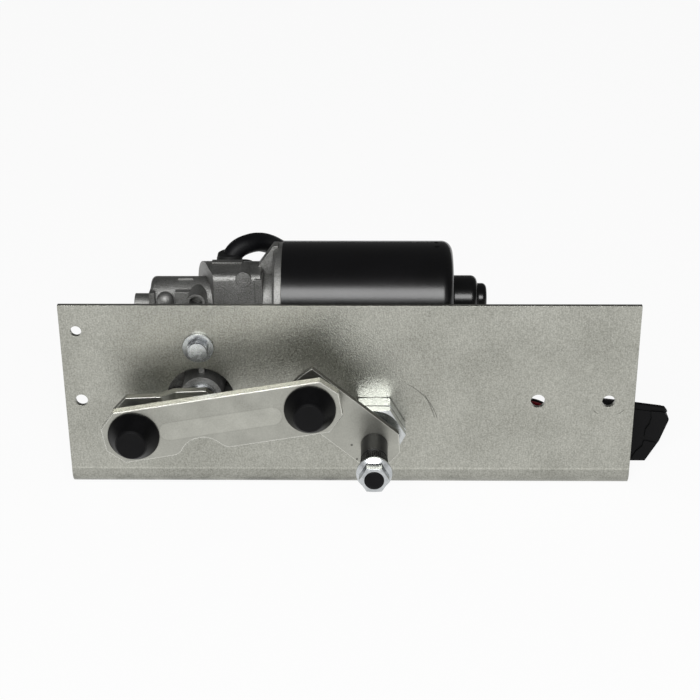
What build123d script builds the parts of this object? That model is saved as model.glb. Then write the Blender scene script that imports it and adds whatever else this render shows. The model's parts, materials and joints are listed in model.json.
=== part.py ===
from build123d import *
from math import acos, atan2, cos, degrees, hypot, pi, radians, sin, sqrt, tan
import os

# Windscreen wiper drive: a worm-geared motor on a bent sheet bracket turns a crank, and the
# crank swings a lever and the wiper spindle through a ball-jointed link.
# Millimetres. X runs along the bracket, Y from its front to its back, Z up.
# The origin is the middle of the underside of the bracket's foot.

# ---- Driving dimensions -------------------------------------------------------------------

# Bracket
bracket_width = 300.0
bracket_height = 106.0
sheet = 2.5
foot_depth = 70.0
bend_radius = 8.0
corner_hole_inset, corner_hole_drop, corner_hole_r = 8.5, 14.5, 2.9
left_hole_inset, left_hole_r = 8.5, 3.3
middle_hole_inset, middle_hole_r = 50.8, 3.8
right_hole_inset, right_hole_r = 13.7, 3.4
hole_row_z = 51.6

# Linkage, seen from the front: pivots, arm lengths and their angles from +X at rest
shaft_x, shaft_z = -78.4, 52.5
spindle_x, spindle_z = 13.1, 39.2
crank_length, crank_angle = 30.0, 182.5
lever_length, lever_angle = 42.2, 139.7
arm_half_width = 13.0
link_half_width = 14.4
link_overhang = 15.6

# Stations in front of the bracket's face
crank_back, crank_thickness, crank_joggle = 12.5, 4.5, 5.0
lever_back, lever_thickness = 22.5, 3.5
link_back, link_thickness = 34.0, 5.0

# Motor and gearbox, behind the bracket's face
motor_back = 40.0
can_radius, can_wall = 31.0, 2.0
can_start, can_length = -35.6, 90.3
gear_module, wheel_teeth, worm_radius = 1.13, 60, 6.9
wheel_width = 10.0
case_front, case_back, case_wall = 28.0, 60.0, 3.5
shaft_radius = 5.0
armature_shaft_radius = 4.0
bolt_circle_radius = 30.0

# Fits
slip = 0.05
part_gap = 0.1
run_gap = 0.3

# ---- Values that follow -------------------------------------------------------------------

face_y = -foot_depth / 2
bracket_start, bracket_end = -bracket_width / 2, bracket_width / 2
motor_y = face_y + motor_back
wheel_radius = gear_module * wheel_teeth / 2
wheel_tip_radius = wheel_radius + gear_module
wheel_root_radius = wheel_radius - 1.25 * gear_module
motor_z = shaft_z + wheel_radius + worm_radius
motor_axis = Axis((0, motor_y, motor_z), (1, 0, 0))

crank_pin_x = shaft_x + crank_length * cos(radians(crank_angle))
crank_pin_z = shaft_z + crank_length * sin(radians(crank_angle))
lever_pin_x = spindle_x + lever_length * cos(radians(lever_angle))
lever_pin_z = spindle_z + lever_length * sin(radians(lever_angle))
link_length = hypot(lever_pin_x - crank_pin_x, lever_pin_z - crank_pin_z)
link_angle = degrees(atan2(lever_pin_z - crank_pin_z, lever_pin_x - crank_pin_x))

crank_front = crank_back + crank_thickness
crank_arm_front = crank_front + crank_joggle
lever_front = lever_back + lever_thickness
link_front = link_back + link_thickness


def facing(x, z, ahead=0.0, angle=0.0):
    """A plane parallel to the bracket's face and ahead of it, its normal to the front."""
    along = (cos(radians(angle)), 0, sin(radians(angle)))
    return Plane(origin=(x, face_y - ahead, z), x_dir=along, z_dir=(0, -1, 0))


def across(x):
    """A plane square to the motor's axis at x, with local x to the back and local y up."""
    return Plane(origin=(x, motor_y, motor_z), x_dir=(0, 1, 0), z_dir=(1, 0, 0))


def beside(x, z, angle=0.0):
    """A plane through an axis square to the bracket: local x runs ahead, local y along angle."""
    along = (cos(radians(angle)), 0, sin(radians(angle)))
    return Plane(origin=(x, face_y, z), x_dir=(0, -1, 0), z_dir=Vector(0, -1, 0).cross(Vector(*along)))


def front_axis(x, z):
    """The axis square to the bracket through x and z."""
    return Axis((x, face_y, z), (0, -1, 0))


def write(piece, name):
    """Labels a finished piece and writes it to its own file."""
    piece.part.label = name
    export_step(piece.part, f"parts/{name}.step")


os.makedirs("parts", exist_ok=True)

# ---- Bracket ------------------------------------------------------------------------------

output_hole_radius = 18.0
pivot_thread_radius = 9.5
motor_bolt_radius = 3.0
motor_bolt_clearance = 0.4

with BuildPart() as bracket:
    with BuildSketch(Plane.YZ.offset(bracket_start)):
        with BuildLine():
            outside = FilletPolyline(
                (face_y, bracket_height),
                (face_y, 0),
                (face_y + foot_depth, 0),
                radius=bend_radius,
            )
            inside = FilletPolyline(
                (face_y + foot_depth, sheet),
                (face_y + sheet, sheet),
                (face_y + sheet, bracket_height),
                radius=bend_radius - sheet,
            )
            Line(outside @ 1, inside @ 0)
            Line(inside @ 1, outside @ 0)
        make_face()
    extrude(amount=bracket_width)
    with BuildSketch(facing(0, 0)):
        with Locations((bracket_start + corner_hole_inset, bracket_height - corner_hole_drop)):
            Circle(corner_hole_r)
        with Locations((bracket_start + left_hole_inset, hole_row_z)):
            Circle(left_hole_r)
        with Locations((bracket_end - middle_hole_inset, hole_row_z)):
            Circle(middle_hole_r)
        with Locations((bracket_end - right_hole_inset, hole_row_z)):
            Circle(right_hole_r)
        with Locations((spindle_x, spindle_z)):
            Circle(pivot_thread_radius + part_gap)
        with Locations((shaft_x, shaft_z)):
            Circle(output_hole_radius)
            with PolarLocations(bolt_circle_radius, 3, start_angle=90):
                Circle(motor_bolt_radius + motor_bolt_clearance)
    extrude(amount=-sheet, mode=Mode.SUBTRACT)
write(bracket, "bracket")

# ---- Gearbox casting ----------------------------------------------------------------------

case_clearance = 2.0
case_radius = wheel_tip_radius + case_clearance + case_wall
neck_radius, neck_front = 11.0, 3.0
foot_radius, foot_web = 7.0, 3.0
bolt_depth = 14.0
bush_radius = 7.0
tunnel_radius, tunnel_start, tunnel_end = 20.0, -77.0, -47.0
tunnel_top, tunnel_front, tunnel_corner, tunnel_slant = 19.3, 14.5, 3.8, 7.0
tunnel_pad_start, tunnel_pad_end, tunnel_pad_width, tunnel_pad_proud = -73.9, -57.6, 4.0, 0.7
nose_radius, nose_start, nose_corner = 11.9, -106.7, 2.5
nose_boss_radius, nose_boss_length, nose_boss_drop = 6.5, 9.3, 4.2
nose_end = tunnel_start + tunnel_slant
collar_radius = 16.0
rim_radius, rim_thickness, rim_chamfer = 30.3, 4.8, 1.2
worm_bore = worm_radius + gear_module + 1.2
bearing_radius, bearing_width, bearing_start = 11.0, 7.0, -57.0
tip_bush_radius, tip_bush_length, tip_bush_start = 6.0, 7.0, -102.3
thrust_pad_thickness = 1.2
can_screw_radius, can_screw_circle = 2.5, 25.0
can_screw_reach = 9.0
cover_screw_radius, cover_screw_depth = 2.0, 12.0
cover_lug_radius = 5.0
cover_screw_circle = case_radius + 2.5
cover_screw_angles = (168, 225, 315, 352)
loom_x, loom_y, loom_radius = -65.5, face_y + 52.0, 5.25
loom_boss_radius, loom_boss_top, loom_hole_depth = 8.0, motor_z + 14.7, 9.0
grommet_flange = 7.5
grommet_neck = 6.2
end_rib_width, end_rib_height, end_rib_proud = 3.0, 22.0, 1.0
nose_ridge_start, nose_ridge_end, nose_ridge_width, nose_ridge_proud = -92.1, -83.9, 2.5, 0.5
dome_x, dome_y, dome_radius, dome_rise = -98.0, face_y + 27.0, 4.4, 4.6
front_pad_x, front_pad_width, front_pad_height, front_pad_proud = -88.9, 7.8, 23.0, 0.6
port_x, port_rise, port_radius, port_front = -81.0, 5.4, 5.0, 20.0
port_bore, port_depth = 3.5, 9.0
post_x, post_rise, post_radius, post_front = -56.0, 16.8, 4.1, 25.0
flank_rib_x, flank_rib_width, flank_rib_height, flank_rib_proud = -48.0, 3.8, 40.0, 1.2
gusset_start, gusset_step, gusset_thickness, gusset_ahead = -60.0, -51.5, 7.0, 3.5
rib_drop = 3.0
thrust_seat = tip_bush_start - thrust_pad_thickness
rim_start = can_start - rim_thickness
gusset_end = rim_start + rim_thickness / 2
gusset_top = motor_z + rim_radius + 1.0
motor_section = Plane(origin=(0, motor_y, motor_z), x_dir=(1, 0, 0), z_dir=(0, -1, 0))
front_corner = across(tunnel_start).from_local_coords((-tunnel_front, tunnel_top, 0))


def cover_lugs(radius, mode=Mode.ADD):
    """A circle at each of the cover's screws."""
    for lug_angle in cover_screw_angles:
        with PolarLocations(cover_screw_circle, 1, start_angle=lug_angle):
            Circle(radius, mode=mode)


with BuildPart() as gearbox_housing:
    # Worm tunnel: round behind, flat on top and in front, with a slanted end
    with BuildSketch(across(tunnel_start - tunnel_slant)):
        Circle(tunnel_radius)
        with Locations((-tunnel_front, 0)):
            Rectangle(tunnel_front, 3 * tunnel_radius, align=(Align.MAX, Align.CENTER), mode=Mode.SUBTRACT)
        with Locations((-tunnel_front, 0)):
            Rectangle(tunnel_front, tunnel_top, align=Align.MIN)
    extrude(amount=tunnel_end - tunnel_start + tunnel_slant)
    tunnel_edges = gearbox_housing.edges().filter_by(Axis.X)
    fillet(tunnel_edges.sort_by_distance(front_corner)[0], radius=tunnel_corner)
    with BuildSketch(Plane.XY.offset(motor_z - 2 * tunnel_radius)):
        with BuildLine():
            Polyline(
                (tunnel_start - tunnel_slant - 1, motor_y + tunnel_radius),
                (tunnel_start - tunnel_slant, motor_y + tunnel_radius),
                (tunnel_start + tunnel_slant, motor_y - tunnel_radius),
                (tunnel_start - tunnel_slant - 1, motor_y - tunnel_radius),
                close=True,
            )
        make_face()
    extrude(amount=4 * tunnel_radius, mode=Mode.SUBTRACT)
    with BuildSketch(Plane.XY.offset(motor_z)):
        with Locations((tunnel_pad_start, motor_y)):
            Rectangle(tunnel_pad_end - tunnel_pad_start, tunnel_pad_width, align=Align.MIN)
    extrude(amount=tunnel_radius + tunnel_pad_proud)
    # Wheel case, neck and mounting feet
    with BuildSketch(facing(shaft_x, shaft_z, -case_back)):
        Circle(case_radius)
        cover_lugs(cover_lug_radius)
    extrude(amount=case_back - case_front)
    with BuildSketch(facing(shaft_x, shaft_z, -case_front)):
        Circle(neck_radius)
    extrude(amount=case_front - neck_front)
    with BuildSketch(facing(shaft_x, shaft_z, -case_front)):
        with PolarLocations(bolt_circle_radius, 3, start_angle=90):
            Circle(foot_radius)
    extrude(amount=case_front - sheet)
    with BuildSketch(facing(shaft_x, shaft_z, -case_front)):
        with PolarLocations(bolt_circle_radius / 2, 3, start_angle=90):
            Rectangle(bolt_circle_radius, foot_web)
    extrude(amount=(case_front - sheet) * 0.75)
    # Nose with its end boss, collar and the rim that the can sits on
    with BuildSketch(motor_section):
        with BuildLine():
            FilletPolyline(
                (nose_start, 0),
                (nose_start, nose_radius),
                (nose_end, nose_radius),
                radius=nose_corner,
            )
            Polyline(
                (nose_end, nose_radius),
                (nose_end, 0),
                (nose_start, 0),
            )
        make_face()
    revolve(axis=motor_axis)
    with BuildSketch(across(nose_start - nose_boss_length)):
        with Locations((0, -nose_boss_drop)):
            Circle(nose_boss_radius)
    extrude(amount=nose_boss_length + nose_corner)
    with BuildSketch(across(tunnel_end)):
        Circle(collar_radius)
    extrude(amount=rim_start - tunnel_end)
    with BuildSketch(motor_section):
        with BuildLine():
            Polyline(
                (rim_start, 0),
                (rim_start, rim_radius - rim_chamfer),
                (rim_start + rim_chamfer, rim_radius),
                (can_start, rim_radius),
                (can_start, 0),
                close=True,
            )
        make_face()
    revolve(axis=motor_axis)
    # Ribs, bosses and the gusset between tunnel and rim
    with BuildSketch(facing(nose_start + end_rib_width / 2, motor_z - rib_drop, -motor_back)):
        Rectangle(end_rib_width, end_rib_height)
    extrude(amount=nose_radius + end_rib_proud)
    with BuildSketch(Plane.XY.offset(motor_z)):
        with Locations((nose_ridge_start, motor_y)):
            Rectangle(nose_ridge_end - nose_ridge_start, nose_ridge_width, align=(Align.MIN, Align.MAX))
    extrude(amount=nose_radius + nose_ridge_proud)
    with BuildSketch(Plane(origin=(dome_x, dome_y, motor_z - nose_radius / 2), z_dir=(0, 0, 1))):
        Circle(dome_radius)
    extrude(amount=nose_radius / 2 + dome_rise)
    with Locations((dome_x, dome_y, motor_z + dome_rise)):
        Sphere(dome_radius)
    with BuildSketch(facing(front_pad_x, motor_z - rib_drop, -motor_back)):
        Rectangle(front_pad_width, front_pad_height)
    extrude(amount=nose_radius + front_pad_proud)
    with BuildSketch(facing(port_x, motor_z + port_rise, -motor_back)):
        Circle(port_radius)
    extrude(amount=motor_back - port_front)
    with BuildSketch(facing(post_x, motor_z + post_rise, -motor_back)):
        Circle(post_radius)
    extrude(amount=motor_back - post_front)
    with BuildSketch(facing(flank_rib_x, motor_z - rib_drop, -motor_back)):
        Rectangle(flank_rib_width, flank_rib_height)
    extrude(amount=tunnel_front + flank_rib_proud)
    with BuildSketch(facing(0, 0, -motor_back - gusset_ahead)):
        with BuildLine():
            Polyline(
                (gusset_start, motor_z),
                (gusset_start, motor_z + collar_radius),
                (gusset_step, motor_z + collar_radius),
                (rim_start, gusset_top),
                (gusset_end, gusset_top),
                (gusset_end, motor_z),
                close=True,
            )
        make_face()
    extrude(amount=gusset_thickness)
    with BuildSketch(Plane(origin=(loom_x, loom_y, motor_z), z_dir=(0, 0, 1))):
        Circle(loom_boss_radius)
    extrude(amount=loom_boss_top - motor_z)
    # Wheel chamber, bush seat, worm bore and bearing seats
    with BuildSketch(facing(shaft_x, shaft_z, -case_back)):
        Circle(case_radius - case_wall)
    extrude(amount=case_back - case_front - case_wall, mode=Mode.SUBTRACT)
    with BuildSketch(facing(shaft_x, shaft_z, -case_back)):
        Circle(bush_radius)
    extrude(amount=case_back - neck_front, mode=Mode.SUBTRACT)
    with BuildSketch(across(thrust_seat)):
        Circle(tip_bush_radius)
    extrude(amount=can_start - thrust_seat, mode=Mode.SUBTRACT)
    with BuildSketch(across(tip_bush_start + tip_bush_length)):
        Circle(worm_bore)
    extrude(amount=can_start - tip_bush_start - tip_bush_length, mode=Mode.SUBTRACT)
    with BuildSketch(across(bearing_start)):
        Circle(bearing_radius)
    extrude(amount=can_start - bearing_start, mode=Mode.SUBTRACT)
    # Holes
    with BuildSketch(across(can_start)):
        with PolarLocations(can_screw_circle, 2):
            Circle(can_screw_radius + part_gap)
    extrude(amount=-rim_thickness, mode=Mode.SUBTRACT)
    with BuildSketch(facing(shaft_x, shaft_z, -sheet)):
        with PolarLocations(bolt_circle_radius, 3, start_angle=90):
            Circle(motor_bolt_radius)
    extrude(amount=-bolt_depth, mode=Mode.SUBTRACT)
    with BuildSketch(facing(shaft_x, shaft_z, -case_back)):
        cover_lugs(cover_screw_radius)
    extrude(amount=cover_screw_depth, mode=Mode.SUBTRACT)
    with BuildSketch(facing(port_x, motor_z + port_rise, -port_front)):
        Circle(port_bore)
    extrude(amount=-port_depth, mode=Mode.SUBTRACT)
    with BuildSketch(Plane(origin=(loom_x, loom_y, loom_boss_top), z_dir=(0, 0, 1))):
        Circle(grommet_neck)
    extrude(amount=-loom_hole_depth, mode=Mode.SUBTRACT)
    with BuildSketch(Plane(origin=(loom_x, loom_y, loom_boss_top), z_dir=(0, 0, 1))):
        Circle(grommet_flange + run_gap)
    extrude(amount=tunnel_radius, mode=Mode.SUBTRACT)
write(gearbox_housing, "gearbox_housing")

# ---- Gearbox: cover, seals, screws and output shaft ---------------------------------------

cover_thickness = 3.0
gasket_thickness = 0.8
cover_front = case_back + gasket_thickness
cover_back = cover_front + cover_thickness


with BuildPart() as case_gasket:
    with BuildSketch(facing(shaft_x, shaft_z, -case_back)):
        Circle(case_radius)
        cover_lugs(cover_lug_radius)
        Circle(case_radius - case_wall, mode=Mode.SUBTRACT)
        cover_lugs(cover_screw_radius + part_gap, Mode.SUBTRACT)
    extrude(amount=-gasket_thickness)
write(case_gasket, "case_gasket")

with BuildPart() as gearbox_cover:
    with BuildSketch(facing(shaft_x, shaft_z, -cover_front)):
        Circle(case_radius)
        cover_lugs(cover_lug_radius)
        cover_lugs(cover_screw_radius + part_gap, Mode.SUBTRACT)
    extrude(amount=-cover_thickness)
    with BuildSketch(facing(shaft_x, shaft_z, -cover_back)):
        Circle(case_radius - 6)
        Circle(case_radius - 9, mode=Mode.SUBTRACT)
        with PolarLocations(0, 6):
            with Locations((case_radius / 2, 0)):
                Rectangle(case_radius - 12, 2)
        Circle(9)
    extrude(amount=-1.5)
write(gearbox_cover, "gearbox_cover")

screw_head_radius, screw_head_height = 3.8, 2.8
cover_screw_length = 13.0

with BuildPart() as cover_screws:
    with BuildSketch(facing(shaft_x, shaft_z, -cover_back)):
        cover_lugs(screw_head_radius)
    extrude(amount=-screw_head_height)
    with BuildSketch(facing(shaft_x, shaft_z, -cover_back)):
        cover_lugs(cover_screw_radius - slip)
    extrude(amount=cover_screw_length)
    with BuildSketch(facing(shaft_x, shaft_z, -cover_back - screw_head_height)):
        for lug_angle in cover_screw_angles:
            with PolarLocations(cover_screw_circle, 1, start_angle=lug_angle):
                RegularPolygon(2.0, 6)
    extrude(amount=1.6, mode=Mode.SUBTRACT)
write(cover_screws, "cover_screws")

bush_front, bush_back = 4.0, case_front + 2.5

with BuildPart() as output_bush:
    with BuildSketch(facing(shaft_x, shaft_z, -bush_front)):
        Circle(bush_radius - slip)
        Circle(shaft_radius + slip, mode=Mode.SUBTRACT)
    extrude(amount=-(bush_back - bush_front))
write(output_bush, "output_bush")

washer_radius, washer_front = 8.0, 1.2
hub_front = case_front + case_wall + run_gap

with BuildPart() as shaft_washer:
    with BuildSketch(facing(shaft_x, shaft_z, -washer_front)):
        Circle(washer_radius)
        Circle(shaft_radius + run_gap, mode=Mode.SUBTRACT)
    extrude(amount=-(neck_front - washer_front))
write(shaft_washer, "shaft_washer")

clip_thickness, clip_groove_radius = 0.9, 4.5

with BuildPart() as shaft_clip:
    with BuildSketch(facing(shaft_x, shaft_z, -washer_front + run_gap)):
        Circle(7.0)
        Circle(clip_groove_radius, mode=Mode.SUBTRACT)
        with Locations((0, -6)):
            Rectangle(5, 9, mode=Mode.SUBTRACT)
    extrude(amount=clip_thickness)
write(shaft_clip, "shaft_clip")

thread_radius = 4.0
shaft_end = crank_front + 9.0
shaft_inner_end = case_back - 8.0
web_width = 4.0
hub_radius = 9.0
wheel_front, wheel_rear = motor_back - wheel_width / 2, motor_back + wheel_width / 2

with BuildPart() as output_shaft:
    with BuildSketch(facing(shaft_x, shaft_z, crank_front)):
        Circle(shaft_radius)
    extrude(amount=-(crank_front + shaft_inner_end))
    with BuildSketch(facing(shaft_x, shaft_z, crank_front)):
        Circle(thread_radius)
    extrude(amount=shaft_end - crank_front)
    chamfer(output_shaft.faces().sort_by(Axis.Y)[0].edges(), length=0.8)
    with BuildSketch(facing(shaft_x, shaft_z, -washer_front + run_gap)):
        Circle(shaft_radius)
        Circle(clip_groove_radius, mode=Mode.SUBTRACT)
    extrude(amount=clip_thickness, mode=Mode.SUBTRACT)
write(output_shaft, "output_shaft")

tooth_root_width, tooth_tip_width = 0.54 * pi * gear_module, 0.24 * pi * gear_module
tooth_height = wheel_tip_radius - wheel_root_radius + 0.3
tooth_flank_angle = degrees(atan2(tooth_height, (tooth_root_width - tooth_tip_width) / 2))

with BuildPart() as worm_wheel:
    with BuildSketch(facing(shaft_x, shaft_z, -wheel_front)):
        Circle(wheel_root_radius)
        with PolarLocations(wheel_tip_radius - tooth_height / 2, wheel_teeth, start_angle=90):
            Trapezoid(tooth_root_width, tooth_height, tooth_flank_angle, rotation=-90)
        Circle(shaft_radius, mode=Mode.SUBTRACT)
    extrude(amount=-wheel_width)
    with BuildSketch(facing(shaft_x, shaft_z, -wheel_front)):
        Circle(wheel_root_radius - 4)
        Circle(hub_radius, mode=Mode.SUBTRACT)
    extrude(amount=-(wheel_width - web_width) / 2, mode=Mode.SUBTRACT)
    with BuildSketch(facing(shaft_x, shaft_z, -hub_front)):
        Circle(hub_radius)
        Circle(shaft_radius, mode=Mode.SUBTRACT)
    extrude(amount=-(wheel_front - hub_front))
write(worm_wheel, "worm_wheel")

park_disc_radius, park_disc_thickness = 24.0, 0.8

with BuildPart() as park_disc:
    with BuildSketch(facing(shaft_x, shaft_z, -wheel_rear)):
        Circle(park_disc_radius)
        Circle(hub_radius, mode=Mode.SUBTRACT)
        with Locations((park_disc_radius - 4, 0)):
            Rectangle(9, 7, mode=Mode.SUBTRACT)
    extrude(amount=-park_disc_thickness)
write(park_disc, "park_disc")

contact_reach = cover_front - wheel_rear - park_disc_thickness - run_gap
leaf_station = contact_reach / 2 - cover_front

with BuildPart() as park_contacts:
    for contact_radius in (12.0, 17.0, 22.0):
        with BuildSketch(facing(shaft_x, shaft_z - contact_radius, -cover_front)):
            with Locations((8, 0)):
                Rectangle(5, 3)
        extrude(amount=contact_reach / 2)
        with BuildSketch(facing(shaft_x, shaft_z - contact_radius, leaf_station)):
            with Locations((3, 0)):
                Rectangle(15, 3)
        extrude(amount=0.8)
        with BuildSketch(facing(shaft_x, shaft_z - contact_radius, leaf_station)):
            with Locations((-3, 0)):
                Rectangle(2, 3)
        extrude(amount=contact_reach / 2)
write(park_contacts, "park_contacts")

# ---- Motor --------------------------------------------------------------------------------

can_end = can_start + can_length
end_boss_radius, end_boss_length = 12.5, 13.3
end_cap_radius, end_cap_length = 8.3, 5.1
can_corner = 6.0
mark_x, mark_spread, mark_radius, mark_depth = 46.0, 3.5, 2.5, 0.8
inner_radius = can_radius - can_wall
boss_end = can_end + end_boss_length
cap_end = boss_end + end_cap_length

with BuildPart() as motor_can:
    with BuildSketch(motor_section):
        with BuildLine():
            Line((can_start, inner_radius), (can_start, can_radius))
            FilletPolyline(
                (can_start, can_radius),
                (can_end, can_radius),
                (can_end, end_boss_radius),
                (boss_end, end_boss_radius),
                (boss_end, end_cap_radius),
                (cap_end, end_cap_radius),
                (cap_end, 0),
                radius=(can_corner, 1.2, 3.5, 0.8, 2.5),
            )
            Line((cap_end, 0), (cap_end - can_wall, 0))
            FilletPolyline(
                (cap_end - can_wall, 0),
                (cap_end - can_wall, end_cap_radius - can_wall),
                (boss_end - can_wall, end_cap_radius - can_wall),
                (boss_end - can_wall, end_boss_radius - can_wall),
                (can_end - can_wall, end_boss_radius - can_wall),
                (can_end - can_wall, inner_radius),
                (can_start, inner_radius),
                radius=(0.5, 2.8, 1.5, 3.2, can_corner - can_wall),
            )
        make_face()
    revolve(axis=motor_axis)
    with BuildSketch(across(can_start + 4)):
        with PolarLocations(can_screw_circle, 2):
            with Locations((2.5, 0)):
                Rectangle(5.6, 2 * can_screw_radius + 3)
    extrude(amount=6.0)
    with BuildSketch(across(can_start + 4)):
        with PolarLocations(can_screw_circle, 2):
            Circle(can_screw_radius)
    extrude(amount=6.0, mode=Mode.SUBTRACT)
    # Punch marks that hold the magnets
    for mark_side in (-mark_spread, mark_spread):
        with Locations((mark_x, motor_y + mark_side, motor_z + can_radius + mark_radius - mark_depth)):
            Sphere(mark_radius, mode=Mode.SUBTRACT)
write(motor_can, "motor_can")

with BuildPart() as can_screws:
    with BuildSketch(across(rim_start)):
        with PolarLocations(can_screw_circle, 2):
            RegularPolygon(4.2, 6)
    extrude(amount=-3.5)
    with BuildSketch(across(rim_start)):
        with PolarLocations(can_screw_circle, 2):
            Circle(can_screw_radius - slip)
    extrude(amount=rim_thickness + can_screw_reach)
write(can_screws, "can_screws")

magnet_start, magnet_end, magnet_thickness = -16.0, 40.0, 4.5
magnet_gap = 26.0

with BuildPart() as magnets:
    with BuildSketch(across(magnet_start)):
        Circle(inner_radius - part_gap)
        Circle(inner_radius - part_gap - magnet_thickness, mode=Mode.SUBTRACT)
        Rectangle(2 * inner_radius, magnet_gap, mode=Mode.SUBTRACT)
    extrude(amount=magnet_end - magnet_start)
write(magnets, "magnets")

brush_plate_start, brush_plate_thickness = can_start + part_gap, 2.5
brush_face = brush_plate_start + brush_plate_thickness
commutator_radius, commutator_start, commutator_length = 10.0, brush_face + 0.6, 12.0
brush_width, brush_length, brush_height = 6.0, 8.0, 7.0
brush_inner = commutator_radius + run_gap
holder_wall, holder_length = 0.8, 12.5
holder_inner = brush_inner + 2.0
holder_height = brush_height + 2 * (holder_wall + slip)

with BuildPart() as brush_plate:
    with BuildSketch(across(brush_plate_start)):
        Circle(inner_radius - part_gap)
        Circle(commutator_radius + 2.0, mode=Mode.SUBTRACT)
        with PolarLocations(can_screw_circle, 2):
            Circle(can_screw_radius + run_gap, mode=Mode.SUBTRACT)
    extrude(amount=brush_plate_thickness)
write(brush_plate, "brush_plate")

with BuildPart() as brushes:
    with BuildSketch(across(brush_face + holder_wall + slip)):
        with PolarLocations(brush_inner + brush_length / 2, 2, start_angle=90):
            Rectangle(brush_length, brush_width)
    extrude(amount=brush_height)
write(brushes, "brushes")

with BuildPart() as brush_holders:
    with BuildSketch(across(brush_face)):
        with PolarLocations(holder_inner + holder_length / 2, 2, start_angle=90):
            Rectangle(holder_length, brush_width + 2 * (holder_wall + slip))
    extrude(amount=holder_height)
    with BuildSketch(across(brush_face + holder_wall)):
        with PolarLocations(holder_inner + (holder_length - holder_wall) / 2, 2, start_angle=90):
            Rectangle(holder_length - holder_wall, brush_width + 2 * slip)
    extrude(amount=brush_height + 2 * slip, mode=Mode.SUBTRACT)
write(brush_holders, "brush_holders")

spring_inner = brush_inner + brush_length + slip
spring_outer = holder_inner + holder_length - holder_wall - slip
spring_strip = 0.5

with BuildPart() as brush_springs:
    with BuildSketch(across(brush_face + holder_wall + 2.0)):
        with PolarLocations((spring_inner + spring_outer) / 2, 2, start_angle=90):
            for spring_place in (-1, 0, 1):
                with Locations((spring_place * (spring_outer - spring_inner - spring_strip) / 2, 0)):
                    Rectangle(spring_strip, brush_width - 1.0)
            Rectangle(spring_outer - spring_inner, spring_strip)
    extrude(amount=brush_height - 4.0)
write(brush_springs, "brush_springs")

armature_start, armature_end = thrust_seat + thrust_pad_thickness + run_gap, boss_end - can_wall
worm_root_radius = worm_radius - 1.25 * gear_module
worm_pitch = pi * gear_module
worm_turns = 6
worm_length = (worm_turns + 1) * worm_pitch
thread_start = shaft_x - worm_turns * worm_pitch / 2
thread_angle, thread_sink = 20.0, 0.2
thread_height = 2.25 * gear_module + thread_sink
thread_foot = 0.4 * worm_pitch + 2 * (1.25 * gear_module + thread_sink) * tan(radians(thread_angle))
inner_race_radius = 6.2
core_radius, core_start, core_end = 23.5, -12.0, 36.0
slot_count = 12
slot_circle, slot_depth, slot_width = core_radius * 0.68, 9.0, 4.4

with BuildPart() as front_bearing:
    with BuildSketch(across(bearing_start)):
        Circle(bearing_radius - slip)
        Circle(inner_race_radius + part_gap, mode=Mode.SUBTRACT)
    extrude(amount=bearing_width)
write(front_bearing, "front_bearing")

with BuildPart() as bearing_race:
    with BuildSketch(across(bearing_start)):
        Circle(inner_race_radius)
        Circle(armature_shaft_radius + slip, mode=Mode.SUBTRACT)
    extrude(amount=bearing_width)
write(bearing_race, "bearing_race")

with BuildPart() as bearing_clip:
    with BuildSketch(across(bearing_start + bearing_width + part_gap)):
        Circle(bearing_radius - slip)
        Circle(bearing_radius - 3.0, mode=Mode.SUBTRACT)
        with Locations((bearing_radius - 1.5, 0)):
            Rectangle(6, 4, mode=Mode.SUBTRACT)
    extrude(amount=1.0)
write(bearing_clip, "bearing_clip")

rear_bearing_length = 8.0

with BuildPart() as rear_bearing:
    with BuildSketch(across(boss_end - can_wall - slip)):
        Circle(end_boss_radius - can_wall - slip)
        Circle(armature_shaft_radius + slip, mode=Mode.SUBTRACT)
    extrude(amount=-rear_bearing_length)
    chamfer(rear_bearing.faces().sort_by(Axis.X)[-1].edges().sort_by(SortBy.LENGTH)[-1], length=3.0)
write(rear_bearing, "rear_bearing")

with BuildPart() as tip_bush:
    with BuildSketch(across(tip_bush_start)):
        Circle(tip_bush_radius - slip)
        Circle(armature_shaft_radius + slip, mode=Mode.SUBTRACT)
    extrude(amount=tip_bush_length)
write(tip_bush, "tip_bush")

with BuildPart() as thrust_pad:
    with BuildSketch(across(thrust_seat)):
        Circle(tip_bush_radius - slip)
    extrude(amount=thrust_pad_thickness)
write(thrust_pad, "thrust_pad")

with BuildPart() as armature_shaft:
    with BuildSketch(across(armature_start)):
        Circle(armature_shaft_radius)
    extrude(amount=armature_end - armature_start)
    with BuildSketch(across(shaft_x - worm_length / 2)):
        Circle(worm_root_radius)
    extrude(amount=worm_length)
    # Right-handed thread whose gap faces the wheel's top tooth
    worm_centre = (thread_start, motor_y, motor_z)
    with BuildLine():
        thread_line = Helix(
            worm_pitch,
            worm_turns * worm_pitch,
            worm_root_radius,
            center=worm_centre,
            direction=(1, 0, 0),
        )
    outward = thread_line @ 0 - Vector(worm_centre)
    along = thread_line % 0
    with BuildSketch(Plane(origin=thread_line @ 0, x_dir=outward.cross(along), z_dir=along)):
        with Locations((0, thread_height / 2 - thread_sink)):
            Trapezoid(thread_foot, thread_height, 90 - thread_angle)
    sweep(is_frenet=True)
write(armature_shaft, "armature_shaft")

with BuildPart() as armature_core:
    with BuildSketch(across(core_start)):
        Circle(core_radius)
        Circle(armature_shaft_radius + slip, mode=Mode.SUBTRACT)
        with PolarLocations(core_radius - 1, slot_count):
            Rectangle(4, 2, mode=Mode.SUBTRACT)
        with PolarLocations(slot_circle, slot_count):
            Rectangle(slot_depth, slot_width, mode=Mode.SUBTRACT)
    extrude(amount=core_end - core_start)
write(armature_core, "armature_core")

end_turn_length = 6.0

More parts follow.
